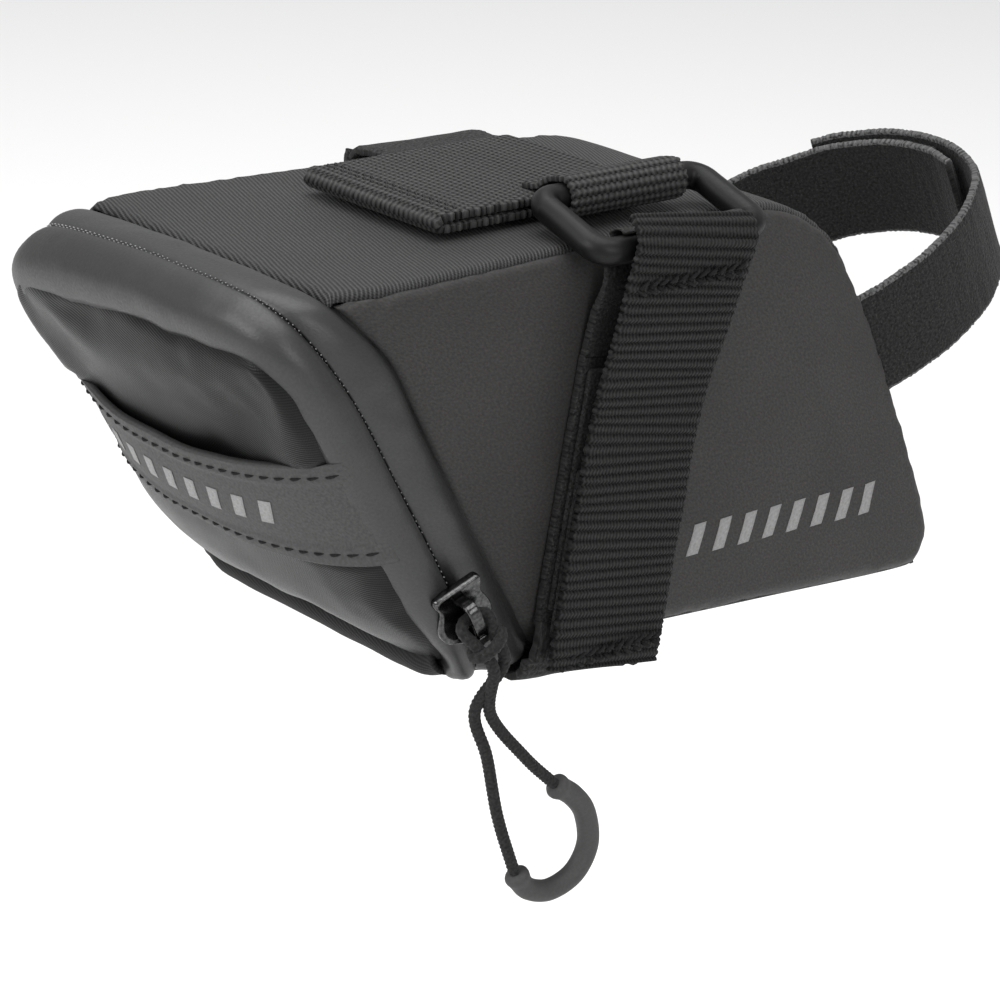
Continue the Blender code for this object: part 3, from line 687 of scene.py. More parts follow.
# %% Top panel
top_run = smooth_line([(-53.2, 0, TOP_Z), (-20, 0, TOP_Z), (10, 0, TOP_Z), (36, 0, TOP_Z),
                       (46, 0, TOP_Z - 2.0), (54, 0, TOP_Z - 6.2), (59.5, 0, TOP_Z - 11),
                       (62.6, 0, TOP_Z - 15.6), (64.6, 0, TOP_Z - 20.2)], 110)
EDGE_R = 1.4
rows = []
for i, c in enumerate(top_run):
    a, b = top_run[max(i - 1, 0)], top_run[min(i + 1, len(top_run) - 1)]
    way = (b - a).normalized()
    inward_n = Vector((way.z, 0, -way.x))
    end = c.x - top_run[0].x
    hw = half_width(c.x) - 1.15 - 2.4 * bell(end, 6)
    row = []
    for u in eased(64, 0.8):
        y = -hw + 2 * hw * u
        d = hw - abs(y)
        sag = 0.5 * math.sin(math.pi * u) * bell(c.x + 22, 26) + 0.25 * max(ripple(c.x / 17, y / 13, 2), 0)
        pucker = (0.16 + 0.36 * ripple(c.x / 2.1, y / 30, 4)) * bell(d, 2.6)
        rear = roll_in(end, 1.2) * 0.8 + 0.12 * (1 + math.sin(y * 1.2)) * bell(end, 2.5)
        row.append(Vector((c.x, y, c.z)) + inward_n * (roll_in(d, EDGE_R) + sag + pucker + rear))
    rows.append(row)
fit(skin("top_cover", rows, TWILL, wall=0.8, flip=True), "shell", "twill", "top_panel")
print("top cover:", len(rows), "x", len(rows[0]), "points")

# %% [markdown]
# ## Side panels
# Each side is a four-cornered piece of coated cloth.  A patch between its four edges gives the
# points, its rim turns in to the seams, and the strap presses it flat where it passes.

# %% Side panels
side_top = smooth_line([(-52.0, 0, TOP_Z - 2.1), (-46, 0, TOP_Z - 1.3), (-20, 0, TOP_Z - 1.15),
                        (20, 0, TOP_Z - 1.15), (36, 0, TOP_Z - 1.2), (46, 0, TOP_Z - 3.2),
                        (53.6, 0, TOP_Z - 7.2), (58.8, 0, TOP_Z - 11.8), (62.2, 0, TOP_Z - 16.6)], 120)
side_front = smooth_line([(62.2, 0, TOP_Z - 16.6), (front_x(-32), 0, -32), (front_x(-52), 0, -52),
                          (front_x(-68), 0, -68), (89.2, 0, -74.4)], 90)
side_rear = smooth_line([(-52.0, 0, TOP_Z - 2.1), (-48.3, 0, -10.3)]
                        + [(mouth_x(z) + 0.2, 0, z) for z in (-16, -25, -50, -71)], 90)
side_low = smooth_line([(side_rear[-1].x, 0, -71.0), (5, 0, floor_z(5)), (45, 0, floor_z(45)),
                        (82, 0, floor_z(82)), (87.2, 0, -78.2), (89.2, 0, -74.4)], 120)
rim = side_top[::4] + side_front[::4] + side_low[::-4] + side_rear[::-4]


def to_rim(p):
    """Distance from a point to the panel's outline."""
    best = 1e9
    for a, b in zip(rim, rim[1:] + rim[:1]):
        ab = b - a
        t = min(max((p - a).dot(ab) / max(ab.length_squared, 1e-9), 0), 1)
        best = min(best, (a + ab * t - p).length)
    return best


def edge_point(line, t):
    k = min(int(t * (len(line) - 1)), len(line) - 2)
    return line[k].lerp(line[k + 1], t * (len(line) - 1) - k)


def side_bulge(s, x, z, d):
    """How far the cloth stands out of the panel's plane."""
    past_strap = 1 - bell(x - strap_x(z), 19)
    full = min(d / 16.0, 1.0) ** 0.8
    soft = 1.5 * full * past_strap + 0.55 * ripple(x / 19, z / 17, 3 + s) * past_strap * full
    dent = -1.2 * bell(x + 20, 12) * bell(z + 40, 26)
    pucker = (-0.15 + 0.45 * ripple(x / 2.3, z / 2.3, 8)) * bell(d, 2.4)
    return soft + dent * past_strap + pucker


side_grid = []
for v in eased(70):
    row = []
    for u in eased(110):
        p = (edge_point(side_top, u) * (1 - v) + edge_point(side_low, u) * v
             + edge_point(side_rear, v) * (1 - u) + edge_point(side_front, v) * u
             - (side_top[0] * (1 - u) + side_top[-1] * u) * (1 - v)
             - (side_low[0] * (1 - u) + side_low[-1] * u) * v)
        row.append((p, to_rim(p), v))
    side_grid.append(row)
for side, s in (("right", -1), ("left", 1)):
    rows = []
    for grid_row in side_grid:
        row = []
        for p, d, v in grid_row:
            low_r = EDGE_R + 2.4 * max(v - 0.6, 0) / 0.4
            y = half_width(p.x) - roll_in(d, low_r) + side_bulge(s, p.x, p.z, d)
            y -= 2.2 * bell((p - side_top[0]).length, 6.5)      # it leans in to the mouth's corner
            row.append(Vector((p.x, s * y, p.z)))
        rows.append(row)
    fit(skin("side_cover_" + side, rows, COATED, wall=0.4, flip=s < 0), "shell", "coated",
        "side_panel_" + side)
print("side covers:", len(side_grid), "x", len(side_grid[0]), "points each")

# %% [markdown]
# ## Front and floor
# The front is a plain slanted panel.  The floor is a strip that turns up at the front foot; its near-black
# colour is painted shade of the underside.

# %% Front and floor panels
def cross_panel(name, run, mat, width_off, edge_r, out_sign, *nodes):
    """A panel that runs along X and Z and spans the bag's width."""
    rows = []
    for i, c in enumerate(run):
        way = (run[min(i + 1, len(run) - 1)] - run[max(i - 1, 0)]).normalized()
        inward_n = Vector((way.z, 0, -way.x)) * out_sign
        hw = min(half_width(c.x), half_width(-8.0)) - width_off
        along = min((c - run[0]).length, (c - run[-1]).length)
        row = []
        for u in eased(40):
            y = -hw + 2 * hw * u
            d = hw - abs(y)
            sag = 0.35 * ripple(c.x / 15, y / 15, 9) * min(d / 10, 1) * min(along / 8, 1)
            row.append(Vector((c.x, y, c.z)) + inward_n * (roll_in(d, edge_r) + sag))
        rows.append(row)
    return fit(skin(name, rows, mat, wall=0.8, flip=out_sign > 0), "shell",
               "coated" if mat is COATED else "webbing", *nodes)


front_run = smooth_line([(64.0, 0, -22.6), (front_x(-40) + 0.3, 0, -40), (front_x(-60) + 0.3, 0, -60),
                         (88.6, 0, -72.6)], 60)
cross_panel("front_cover", front_run, COATED, 0.9, 1.8, 1, "front_panel")
floor_run = smooth_line([(-21.4, 0, -70.8), (-11, 0, -71.6), (40, 0, floor_z(40)), (80, 0, floor_z(80)),
                         (86.4, 0, -79.0), (88.7, 0, -76.2), (88.9, 0, -72.8)], 120)
cross_panel("floor_cover", floor_run, UNDERSIDE_SHADE_TAPE, 1.0, 2.0, -1, "bottom_panel")

# %% [markdown]
# ## The zip band
# The mouth is a hoop with three lines: the seam to the body, the zip in the middle, and the seam to
# the lid.  The satin tape between them swells on both sides of the zip, wrinkles where it turns the
# corners, and dives into a puckered crease at the lid.

# %% Zip band
BODY_SEAM = [(-11.8, -29.6, -71.4), (mouth_x(-70) - .3, -32.4, -70.0), (mouth_x(-50.0) - .1, -33.6, -50.0),
             (mouth_x(-30.0) - .1, -34.6, -30.0), (mouth_x(-15.0) - .1, -35.2, -15.0),
             (-51.0, -34.0, -7.6), (-53.4, -30.4, -5.0), (-53.8, -22.0, -4.4),
             (-53.8, -10.0, -4.3), (-53.8, 0.0, -4.3)]
ZIP_LINE = [(-23.3, -31.0, -71.3), (-24.2, -34.2, -69.2), (-31.2, -35.4, -54.5), (-42.8, -36.4, -34.5),
            (-51.6, -36.6, -19.5), (-58.2, -34.2, -9.8), (-61.8, -28.8, -5.2),
            (-63.2, -21.0, -3.8), (-63.6, -10.0, -3.5), (-63.6, 0.0, -3.5)]
LID_SEAM = [(-29.4, -30.2, -70.0), (-30.0, -33.2, -68.2), (-38.1, -36.2, -58.5), (-49.7, -37.2, -38.5),
            (-58.3, -37.0, -23.5), (-64.0, -34.4, -15.4), (-66.8, -29.0, -12.8),
            (-68.2, -20.0, -12.2), (-68.7, -9.0, -12.1), (-68.8, 0.0, -12.1)]
BAND_STEPS = 130


def droop(p):
    """How far the soft left corner of the mouth hangs out of true; p is its mirror point on the right."""
    w = bell(p.z + 15, 14) * min(-p.y / 30, 1.0)
    return Vector((-1.3, 2.4, -3.4)) * w


def both_sides(route, slack):
    right = smooth_line(route, BAND_STEPS)
    return right + [Vector((p.x, -p.y, p.z)) + droop(p) * slack for p in reversed(right[:-1])]


def inward(p):
    """Into the bag from a point on the mouth."""
    return (Vector((-24.0 + 0.18 * (p.z + 40.0), 0.0, -38.0 + 0.2 * (p.z + 38))) - p).normalized()


body_seam = both_sides(BODY_SEAM, 0.2)
zip_line = both_sides(ZIP_LINE, 0.9)
lid_seam = both_sides(LID_SEAM, 1.0)
band_run = lengths(zip_line)
CORNER_AT = lengths(smooth_line(ZIP_LINE, 400))[-1] * 0.66     # where the band turns over the top


def band_height(u, s, bulge, groove, crease):
    """Out of the plain tape: u from the outer seam to the zip, s along the band."""
    from_end = min(s, band_run[-1] - s)
    corner = bell(from_end - CORNER_AT, 17)
    swell = bulge * (4 * u * (1 - u)) ** 0.65
    folds = 0.30 * ripple(s / 11, u * 1.6, groove) + 0.12 * ripple(s / 3.4, u * 2.4, 8)
    folds += 0.13 * corner * math.sin(s * 0.8 + 3 * u) * u
    return swell - groove * (1 - u) ** 5 - crease * u ** 6 + folds * (0.35 + 1.3 * u * (1 - u) * 2)


def band_side(name, outer, inner, bulge, groove, crease, zip_first, body, node, tuck=0.0):
    """One half of the band; tuck is a hidden flange that lies under the bag's own panels."""
    rows = []
    for i, (p, q) in enumerate(zip(outer, inner)):
        out = -inward((p + q) / 2)
        way = (q - p).normalized()
        out = (out - way * out.dot(way)).normalized()
        row = [p - way * tuck * f - out * (groove + 1.0 * f) for f in (1.0, 0.6, 0.25)] if tuck else []
        for u in eased(16, 0.5):
            t = 1 - u if zip_first else u
            h = band_height(t, band_run[i], bulge, groove, crease)
            scallop = 0.3 * ripple(band_run[i] / 6.0, 1, 5) * (1 - t) ** 4 if zip_first else 0.0
            row.append(p.lerp(q, u) + out * h + way * scallop)
        rows.append(row)
    return fit(skin(name, rows, BAND, wall=0.8, flip=True), body, "tape", node)


band_side("band_body", body_seam, zip_line, 1.25, 1.0, 0.25, False, "shell", "zip_tape_body",
          tuck=4.0)
band_side("band_lid", zip_line, lid_seam, 2.3, 2.6, 0.25, True, "lid", "zip_tape_lid")
print("zip band:", round(band_run[-1]), "mm long")

# %% [markdown]
# ## Zip teeth
# On a reversed coil zip only the tips of the coil and its stitching show, as a line of tiny dots; their pale
# colour is painted glint, for the light each tip catches.  Every other tip belongs to the body's tape and
# the rest to the lid's, so they part cleanly.

# %% Zip tips
TIP_GAP, TIP_R = 0.62, 0.12
tip_line = spaced([tuple(p) for p in zip_line[::6]] + [tuple(zip_line[-1])], TIP_GAP)
tips = {"shell": [], "lid": []}
for i in range(20, len(tip_line) - 20):
    p = tip_line[i]
    way = (tip_line[i + 1] - p).normalized()
    out = -inward(p)
    across = way.cross(out).normalized()
    s = -1 if i % 2 else 1
    if ripple(i * 0.31, 0, 0) > -0.34:
        c = p + across * (s * 0.14) + out * (0.02 + 0.06 * ripple(i * 0.7, 2, 0))
        tips["lid" if s > 0 else "shell"].append((c - way * TIP_R, c + way * TIP_R, out))
for body, pairs in tips.items():
    fit(stitches("zip_tips_" + body, pairs, TIP_R, COIL_GLINT), body, "coil")
print("zip tips:", sum(len(v) for v in tips.values()))

# %% [markdown]
# ## The lid
# The lid is a padded panel of twill, sewn to the zip band all round.  Its sheet is a little larger
# than the opening it fills, so it swells and folds.  That is a cloth simulation: the rim is pinned,
# the cloth is let grow by about one percent, and air pressure pushes it out.

# %% Lid shape
lid_right = smooth_line(LID_SEAM, 400)
lid_drops = [(p - lid_right[-1]).dot(LID_DOWN) for p in lid_right]     # how far down the lid each point is
LID_TALL = lid_drops[0]
TOP_ROW = 0.3                               # the seam's middle is level, so the rows start just below it


def seam_at(v):
    """The right seam of the lid: v is 0 at its lower edge and 1 at the top."""
    want = TOP_ROW + (LID_TALL - TOP_ROW) * (1 - v)
    k = next((i for i, d in enumerate(lid_drops[1:]) if d < want), len(lid_drops) - 2)
    f = (lid_drops[k] - want) / max(lid_drops[k] - lid_drops[k + 1], 1e-6)
    return lid_right[k].lerp(lid_right[k + 1], min(max(f, 0.0), 1.0))


LOOP_MID = Vector((-49.7, 0.0, -38.5))
LOOP_W = 19.5


def dome(v, t):
    """Height of the lid over its rim: v from its lower edge to its top, t from -1 right to 1 left."""
    along = math.sin(math.pi * min(v * 0.96 + 0.03, 1.0)) ** 0.5
    over_loop = 2.2 * bell(v - 0.82, 0.10)
    fold = 1.1 * ripple(v * 5 + t * 0.9, t * 1.5 - v, 3) + 0.2 * ripple(v * 12, t * 5, 6)
    return (3.5 * along + over_loop + fold) * (1 - abs(t) ** 3) ** 0.75


def loop_off(y):
    """How far the light loop's middle stands off the lid's plane."""
    return -3.0 + 10.9 * (1 - min(abs(y) / 38.2, 1.0) ** 2.2) ** 0.75


RIM_DEEP, RIM_TUCK = 4.6, 1.0               # how far the rim lies behind and under the zip band


def lid_point(v, t):
    p = seam_at(v)
    hw = -p.y + RIM_TUCK * 0.5
    from_rim = min((1 - abs(t)) * hw, (1 - v) * LID_TALL, v * LID_TALL + 0.6)
    h = dome(v, t) - RIM_DEEP * bell(from_rim, 1.5)
    under = RIM_TUCK * (bell(v * LID_TALL, 2) - bell((1 - v) * LID_TALL, 2))
    slack = droop(p) * max(t, 0.0) ** 2
    return Vector((p.x, t * hw, p.z)) + slack + LID_OUT * h + LID_DOWN * under


LID_V, LID_T = eased(70, 0.6), [2 * t - 1 for t in eased(80, 0.6)]
rows = [[lid_point(v, t) for t in LID_T] for v in LID_V]
lid = skin("lid_cover", rows, SHADED_LID_TWILL, flip=True)

# %% Lid simulation
def relax(ob, cols, fixed, times):
    """Evens out a grid of points a little, except those that are fixed."""
    held = set(fixed)
    for n in range(times):
        was = [v.co.copy() for v in ob.data.vertices]
        for i, v in enumerate(ob.data.vertices):
            if i not in held:
                v.co = was[i] * 0.5 + (was[i - 1] + was[i + 1] + was[i - cols] + was[i + cols]) * 0.125


SWELL_FRAMES = 20


def swell(ob, pinned, pressure, grow, cap):
    """Lets pinned cloth grow and fill with air, caps how far each point moves, and keeps the shape."""
    rim_group = ob.vertex_groups.new(name="rim")
    rim_group.add(pinned, 1.0, "REPLACE")
    start = [v.co.copy() for v in ob.data.vertices]
    cloth = ob.modifiers.new("cloth", "CLOTH")
    c = cloth.settings
    c.quality = 8
    c.mass = 0.15
    c.vertex_group_mass = "rim"
    c.use_pressure = True
    c.uniform_pressure_force = pressure
    c.shrink_min = -grow
    c.tension_stiffness = c.compression_stiffness = 20
    c.shear_stiffness = 8
    c.bending_stiffness = 0.05
    c.effector_weights.gravity = 0
    cloth.point_cache.frame_start, cloth.point_cache.frame_end = 1, SWELL_FRAMES
    scene = bpy.context.scene
    for f in range(1, SWELL_FRAMES + 1):
        scene.frame_set(f)
    shaped = ob.evaluated_get(bpy.context.evaluated_depsgraph_get()).to_mesh()
    moved = [v.co.copy() for v in shaped.vertices]
    ob.modifiers.remove(cloth)
    furthest = 0.0
    for v, a, b in zip(ob.data.vertices, start, moved):
        step = b - a
        furthest = max(furthest, step.length)
        if step.length > cap * MM:
            step *= cap * MM / step.length
        v.co = a + step
    ob.data.update()
    scene.frame_set(1)
    print(ob.name, "swelled by up to", round(furthest / MM, 1), "mm before the cap of", cap)


lid_cols = len(LID_T)
lid_count = len(LID_V) * lid_cols
rim_points = [i for i in range(lid_count)
              if i % lid_cols in (0, 1, lid_cols - 2, lid_cols - 1)
              or i < 2 * lid_cols or i >= lid_count - 2 * lid_cols]
swell(lid, rim_points, pressure=1.5, grow=0.014, cap=2.6)
relax(lid, lid_cols, rim_points, times=4)

# the loop lies over the lid, so the cloth under it stays behind the loop's inner face
for v in lid.data.vertices:
    p = v.co / MM
    off = (p - LOOP_MID).dot(LID_OUT)
    down = (p - LOOP_MID).dot(LID_DOWN)
    room = loop_off(p.y) - 0.9 + 2.6 * max(abs(down) - LOOP_W / 2 + 0.5, 0)
    if off > room:
        v.co = (p + LID_OUT * (room - off)) * MM
wall = lid.modifiers.new("wall", "SOLIDIFY")
wall.thickness, wall.offset = 1.4 * MM, -1.0
fit(lid, "lid", "twill", "rear_lid")

# %% [markdown]
# ## The light loop
# A band of reflective cloth is sewn to the lid at both ends and stands away from it in the middle, so
# that a rear light clips over it.  Its long edges are folded in and stitched with a dark thread.

# %% Light loop
HEM_W = 3.4


def loop_point(y, d, lift):
    """A point on the band: y across the bag, d down the band from its middle, lift off its face."""
    wave = 0.55 * ripple(y / 15, d / 22, 6) * (abs(d) / (LOOP_W / 2)) ** 2
    sag = -0.8 * bell(y, 20) * (d / (LOOP_W / 2)) ** 2
    c = LOOP_MID + LID_OUT * (loop_off(y) + sag + wave * 0.7 + lift)
    flare = 1 + 0.05 * (abs(y) / 36) ** 3
    return Vector((c.x, y, c.z)) + LID_DOWN * (d * flare + wave)


def loop_face(y, d):
    """Height of the band's outer face: hems are double, and dip at each stitch."""
    from_edge = LOOP_W / 2 - abs(d)
    hem = 0.35 / (1 + math.exp((from_edge - HEM_W) * 6))
    dip = 0.22 * bell(from_edge - HEM_W * 0.62, 0.5) * (0.6 + 0.4 * math.sin(TURN * y / 2.9))
    return 0.5 + hem - dip + 0.05 * ripple(y / 2.1, d / 1.4, 2)


def loop_rows(y_list, d_list, lift):
    return [[loop_point(y, d, loop_face(y, d) + lift) for d in d_list] for y in y_list]


LOOP_D = [-LOOP_W / 2 + LOOP_W * t for t in eased(46, 0.5)]
LOOP_Y = [-38.0 + 76.0 * t for t in eased(150, 0.3)]
front_face = loop_rows(LOOP_Y, LOOP_D, 0.0)
rows = []
for y, face in zip(LOOP_Y, front_face):
    back = [loop_point(y, d * 0.995, -0.4) for d in LOOP_D[::-1]]
    rows.append(face + back)
loop = fit(skin("light_loop_band", rows, REFLECT, wrap=True, caps=True), "lid", "coated", "light_loop")
hem_pairs = []
for d in (-LOOP_W / 2 + HEM_W * 0.62, LOOP_W / 2 - HEM_W * 0.62):
    for k in range(25):
        y = -36.4 + 2.9 * k
        a, b = [loop_point(q, d + w, loop_face(q, d) + 0.05) for q, w in ((y, -0.12), (y + 2.1, 0.12))]
        hem_pairs.append((a, b, LID_OUT))
hem_stitches = fit(stitches("light_loop_stitches", hem_pairs, 0.28, THREAD), "lid", "cord")

# %% [markdown]
# ## Plain pale bars
# The band carries a row of slanted bars, and each side panel a shorter one.  They are only a
# reflective accent: thin patches that follow the cloth just above its surface.

# %% Bars on the loop
LOOP_BARS, LOOP_BAR_GAP, LOOP_BAR_TALL = 9, 5.9, 4.8
for k in range(LOOP_BARS):
    y0 = 27.0 - LOOP_BAR_GAP * k
    rows = []
    for i in range(9):
        d = -LOOP_BAR_TALL / 2 + LOOP_BAR_TALL * i / 8
        rows.append([loop_point(y0 + 0.35 * d + w, d, loop_face(y0 + w, d) + 0.05)
                     for w in (-1.3, -0.65, 0.0, 0.65, 1.3)])
    bar = skin("loop_bar_%d" % (k + 1), rows, PRINT, wall=0.04, flip=True)
    fit(bar, "lid", "coated")

# %% Bars on the right side
SIDE_BARS, SIDE_BAR_GAP, SIDE_BAR_TALL, SIDE_BAR_Z = 8, 6.3, 5.4, -59.8
for k in range(SIDE_BARS):
    x0 = 25.5 + SIDE_BAR_GAP * k
    rows = []
    for i in range(9):
        z = SIDE_BAR_Z - 0.35 * k + SIDE_BAR_TALL * (i / 8 - 0.5)
        row = []
        for w in (-1.4, -0.7, 0.0, 0.7, 1.4):
            x = x0 + w + 0.3 * (z - SIDE_BAR_Z)
            d = to_rim(Vector((x, 0, z)))
            row.append(Vector((x, -(half_width(x) + side_bulge(-1, x, z, d) + 0.06), z)))
        rows.append(row)
    fit(skin("side_bar_%d" % (k + 1), rows, PRINT, wall=0.04), "shell", "coated")

# %% [markdown]
# ## Hinge strip
# The zip stops short of the lid's lower edge.  There a strip joins lid and floor, its near-black colour
# painted shade of the underside, and it is the cloth that bends when the lid drops.

# %% Hinge strip
strip_run = smooth_line([(-18.8, 0, -71.6), (-22.6, 0, -72.1), (-26.4, 0, -72.3), (-29.0, 0, -71.8),
                         (-30.4, 0, -70.4), (-30.7, 0, -68.8), (-30.0, 0, -67.2), (-28.9, 0, -65.8)], 36)
rows = []
for i, c in enumerate(strip_run):
    row = []
    for u in eased(40, 0.6):
        y = -31.6 + 63.2 * u
        rise = 1.6 * bell(31.6 - abs(y), 3.0) * min(i / 12, 1.0)        # its ends turn up round the corners
        row.append(Vector((c.x + 0.3 * rise, y, c.z + rise + 0.2 * ripple(c.x / 4, u * 9, 3))))
    rows.append(row)
strip = skin("lid_hinge_strip", rows, UNDERSIDE_SHADE_TAPE, wall=0.9)
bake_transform(strip)
fit(strip, None, "webbing", "lid_hinge_tape")

# %% [markdown]
# ## Slider
# A black plated slider: a shield with scooped flanks and a lip along its upper edge, and a hoop
# across it that carries the cord.

# %% Slider
half_plate = [(-5.6, 0.0), (-5.6, 2.4), (-5.5, 4.1), (-4.4, 4.5), (-2.6, 3.9), (-0.6, 4.5), (1.8, 5.0),
              (3.6, 4.3), (4.4, 2.9), (5.3, 1.4), (5.5, 0.0)]
plate_line = smooth_line([(a, c, 0) for a, c in half_plate], 40)
outline = [(p.x, p.y) for p in plate_line] + [(p.x, -p.y) for p in reversed(plate_line[1:-1])]
plate_rows = []
for grow, h in ((0.55, 1.0), (0.9, 1.0), (0.985, 1.15), (1.0, 1.5), (1.0, 2.0), (0.985, 2.35), (0.93, 2.5),
                (0.8, 2.42), (0.5, 2.42)):
    ring_row = []
    for a, c in outline:
        lip = 0.55 * bell(a + 5.6, 0.9) if h > 2.2 and grow > 0.85 else 0.0
        wing = 0.5 * bell(abs(c) - 5.0, 1.6) * bell(a - 2, 2.5)
        ring_row.append(on_slider(a * grow, c * grow, h + lip - wing * grow))
    plate_rows.append(ring_row)
fit(skin("slider_plate", plate_rows, STEEL, wrap=True, caps=True), "slider", "steel", "zip_slider")
hoop_line = smooth_line([(-3.1, 0, 2.4), (-3.1, 0, 4.9), (-2.3, 0, 5.9), (0, 0, 6.05), (2.3, 0, 5.9),
                         (3.1, 0, 4.9), (3.1, 0, 2.4)], 60)
hoop_line = [on_slider(p.x, 0, p.z) for p in hoop_line]
fit(strap("slider_hoop", hoop_line, [zip_cross] * len(hoop_line), 2.0, 0.95, STEEL), "slider", "steel",
    "zip_slider_bridge")

# %% [markdown]
# ## Rail pad, keeper and ring
# A wide piece of webbing is folded in half on top, and the saddle rails rest on it.  From its right
# edge a narrower loop, the keeper, holds the inner bar of the plastic ring.

# %% Rail pad
PAD_X, PAD_Y = 21.0, 17.5
PLY = 1.65
fold_line = [(PAD_X, 0, -0.85), (8, 0, -0.8), (-8, 0, -0.85), (-18.6, 0, -0.95), (-20.3, 0, -1.45),
             (-20.6, 0, -2.1), (-19.6, 0, -2.75), (-17, 0, -2.75), (0, 0, -2.7), (PAD_X - 0.4, 0, -2.75)]
pad_line = spaced(fold_line, 0.22)
pad = strap("rail_pad_webbing", pad_line, [(0, 1, 0)] * len(pad_line), PAD_Y * 2, PLY, PAD_WEB, pitch=1.3,
            rib=0.15, bead=0.45)
fit(pad, "shell", "webbing", "rail_pad")
fold_pairs = []
for row_x in (-17.6, -16.1):
    for k in range(17):
        y = -16.3 + 1.95 * k
        fold_pairs.append((Vector((row_x - 0.35, y, 0.05)), Vector((row_x + 0.35, y + 1.5, 0.05)),
                           Vector((0, 0, 1))))
fit(stitches("rail_pad_stitches", fold_pairs, 0.22, PAD_THREAD), "shell", "cord")

# %% Ring and keeper
ROD_R = 2.3
RING_IN, RING_OUT = Vector((0, -22.0, 0.7)), Vector((0, -37.6, -4.2))
HALF_RING = STRAP_W / 2 + 1.9 + ROD_R
ring_way = (RING_OUT - RING_IN).normalized()
ring_reach = (RING_OUT - RING_IN).length
CORNER_R = 2.9
ring_line = []
for sx, v0, start in ((-1, 0, 180), (1, 0, 270), (1, 1, 0), (-1, 1, 90)):
    cx = sx * (HALF_RING - CORNER_R)
    cv = v0 * ring_reach + CORNER_R * (1 - 2 * v0)
    for k in range(13):
        t = math.radians(start + 7.5 * k)
        ring_line.append(RING_IN + Vector((STRAP_X0 + cx + CORNER_R * math.cos(t), 0, 0))
                         + ring_way * (cv + CORNER_R * math.sin(t)))


def ring_radius(along, angle):
    return ROD_R * (1 + 0.012 * ripple(along / 6, math.cos(angle), math.sin(angle)))


fit(tube("strap_ring_rod", ring_line, ring_radius, GLOSS, 32, wrap_ends=True), "ring", "gloss", "strap_ring")


def round_bar(centre, radius, a0, a1, n, leaning=False):
    """Points round a bar that runs along X, as (x, y, z) at the strap's middle."""
    pts = []
    for k in range(n + 1):
        t = math.radians(a0 + (a1 - a0) * k / n)
        z = centre.z + radius * math.sin(t)
        pts.append((strap_x(z) if leaning else STRAP_X0, centre.y + radius * math.cos(t), z))
    return pts


keep_r = ROD_R + 0.2 + 0.5
keeper_route = [(STRAP_X0, -12.0, 0.5), (STRAP_X0, -15.4, 1.0), (STRAP_X0, -18.4, RING_IN.z + keep_r - 0.9)]
keeper_route += round_bar(RING_IN, keep_r, 95, 262, 9)
keeper_route += [(STRAP_X0, -20.6, RING_IN.z - keep_r), (STRAP_X0, -18.2, RING_IN.z - keep_r + 0.1)]
keeper_line = spaced(keeper_route, 0.2)
keeper = strap("ring_keeper_loop", keeper_line, [(1, 0, 0)] * len(keeper_line), STRAP_W - 1, 1.0, PAD_WEB,
               pitch=1.3, rib=0.15, bead=0.4)
fit(keeper, "shell", "webbing", "ring_keeper")

# %% [markdown]
# ## The long strap
# One strap holds the bag to the rails.  It leaves the pad's left edge, goes down the left side, under
# the floor and up the right side, and turns round the ring's outer bar.  Its outer face is loop pile.
# The last stretch up to the ring is a separate piece, because the ring can lift.
# The ribbed tail starts on top of the ring's bar and hangs down outside it.

# %% Long strap
LOW_X = -0.5


def on_side(s, z, lift):
    x = strap_x(z)
    return Vector((x, s * (half_width(x) + lift), z))


down_left = [(STRAP_X0, PAD_Y + 0.5, TOP_Z + LAY + 0.15), (STRAP_X0, 25.0, TOP_Z + LAY),
             (STRAP_X0, 28.6, TOP_Z + LAY), (STRAP_X0, 31.4, TOP_Z + 0.4), (STRAP_X0, 32.8, -6.6),
             on_side(1, -11.0, LAY + 0.2), on_side(1, -20.0, LAY), on_side(1, -40.0, LAY),
             on_side(1, -60.0, LAY + 0.1), on_side(1, -69.0, LAY + 0.5)]
under = [(LOW_X, 33.8, -72.3), (LOW_X, 32.6, -75.0), (LOW_X, 29.0, -76.2), (LOW_X, 10.0, -74.8),
         (LOW_X, -10.0, -74.8), (LOW_X - 1.5, -29.0, -76.2), (LOW_X - 1.2, -32.6, -75.0),
         (LOW_X - 0.6, -33.8, -72.3)]
up_right = [on_side(-1, -69.0, LAY + 0.5), on_side(-1, -60.0, LAY), on_side(-1, -40.0, LAY),
            on_side(-1, -24.0, LAY + 0.1)]


def strap_wide(p):
    """Which way is across the strap: level under the floor, tapered on the sides, square at the ring."""
    if p.z < -73.6:
        return (1.0, 0.0, -0.09)
    if p.z > -5.2 and 0.0 < p.y < 30.5:
        return (1.0, 0.0, 0.0)
    if p.y < 0:
        return (1.0, TAPER * min(max((-p.z - 7.0) / 12.0, 0.0), 1.0), 0.0)
    return (1.0, -TAPER, 0.0)


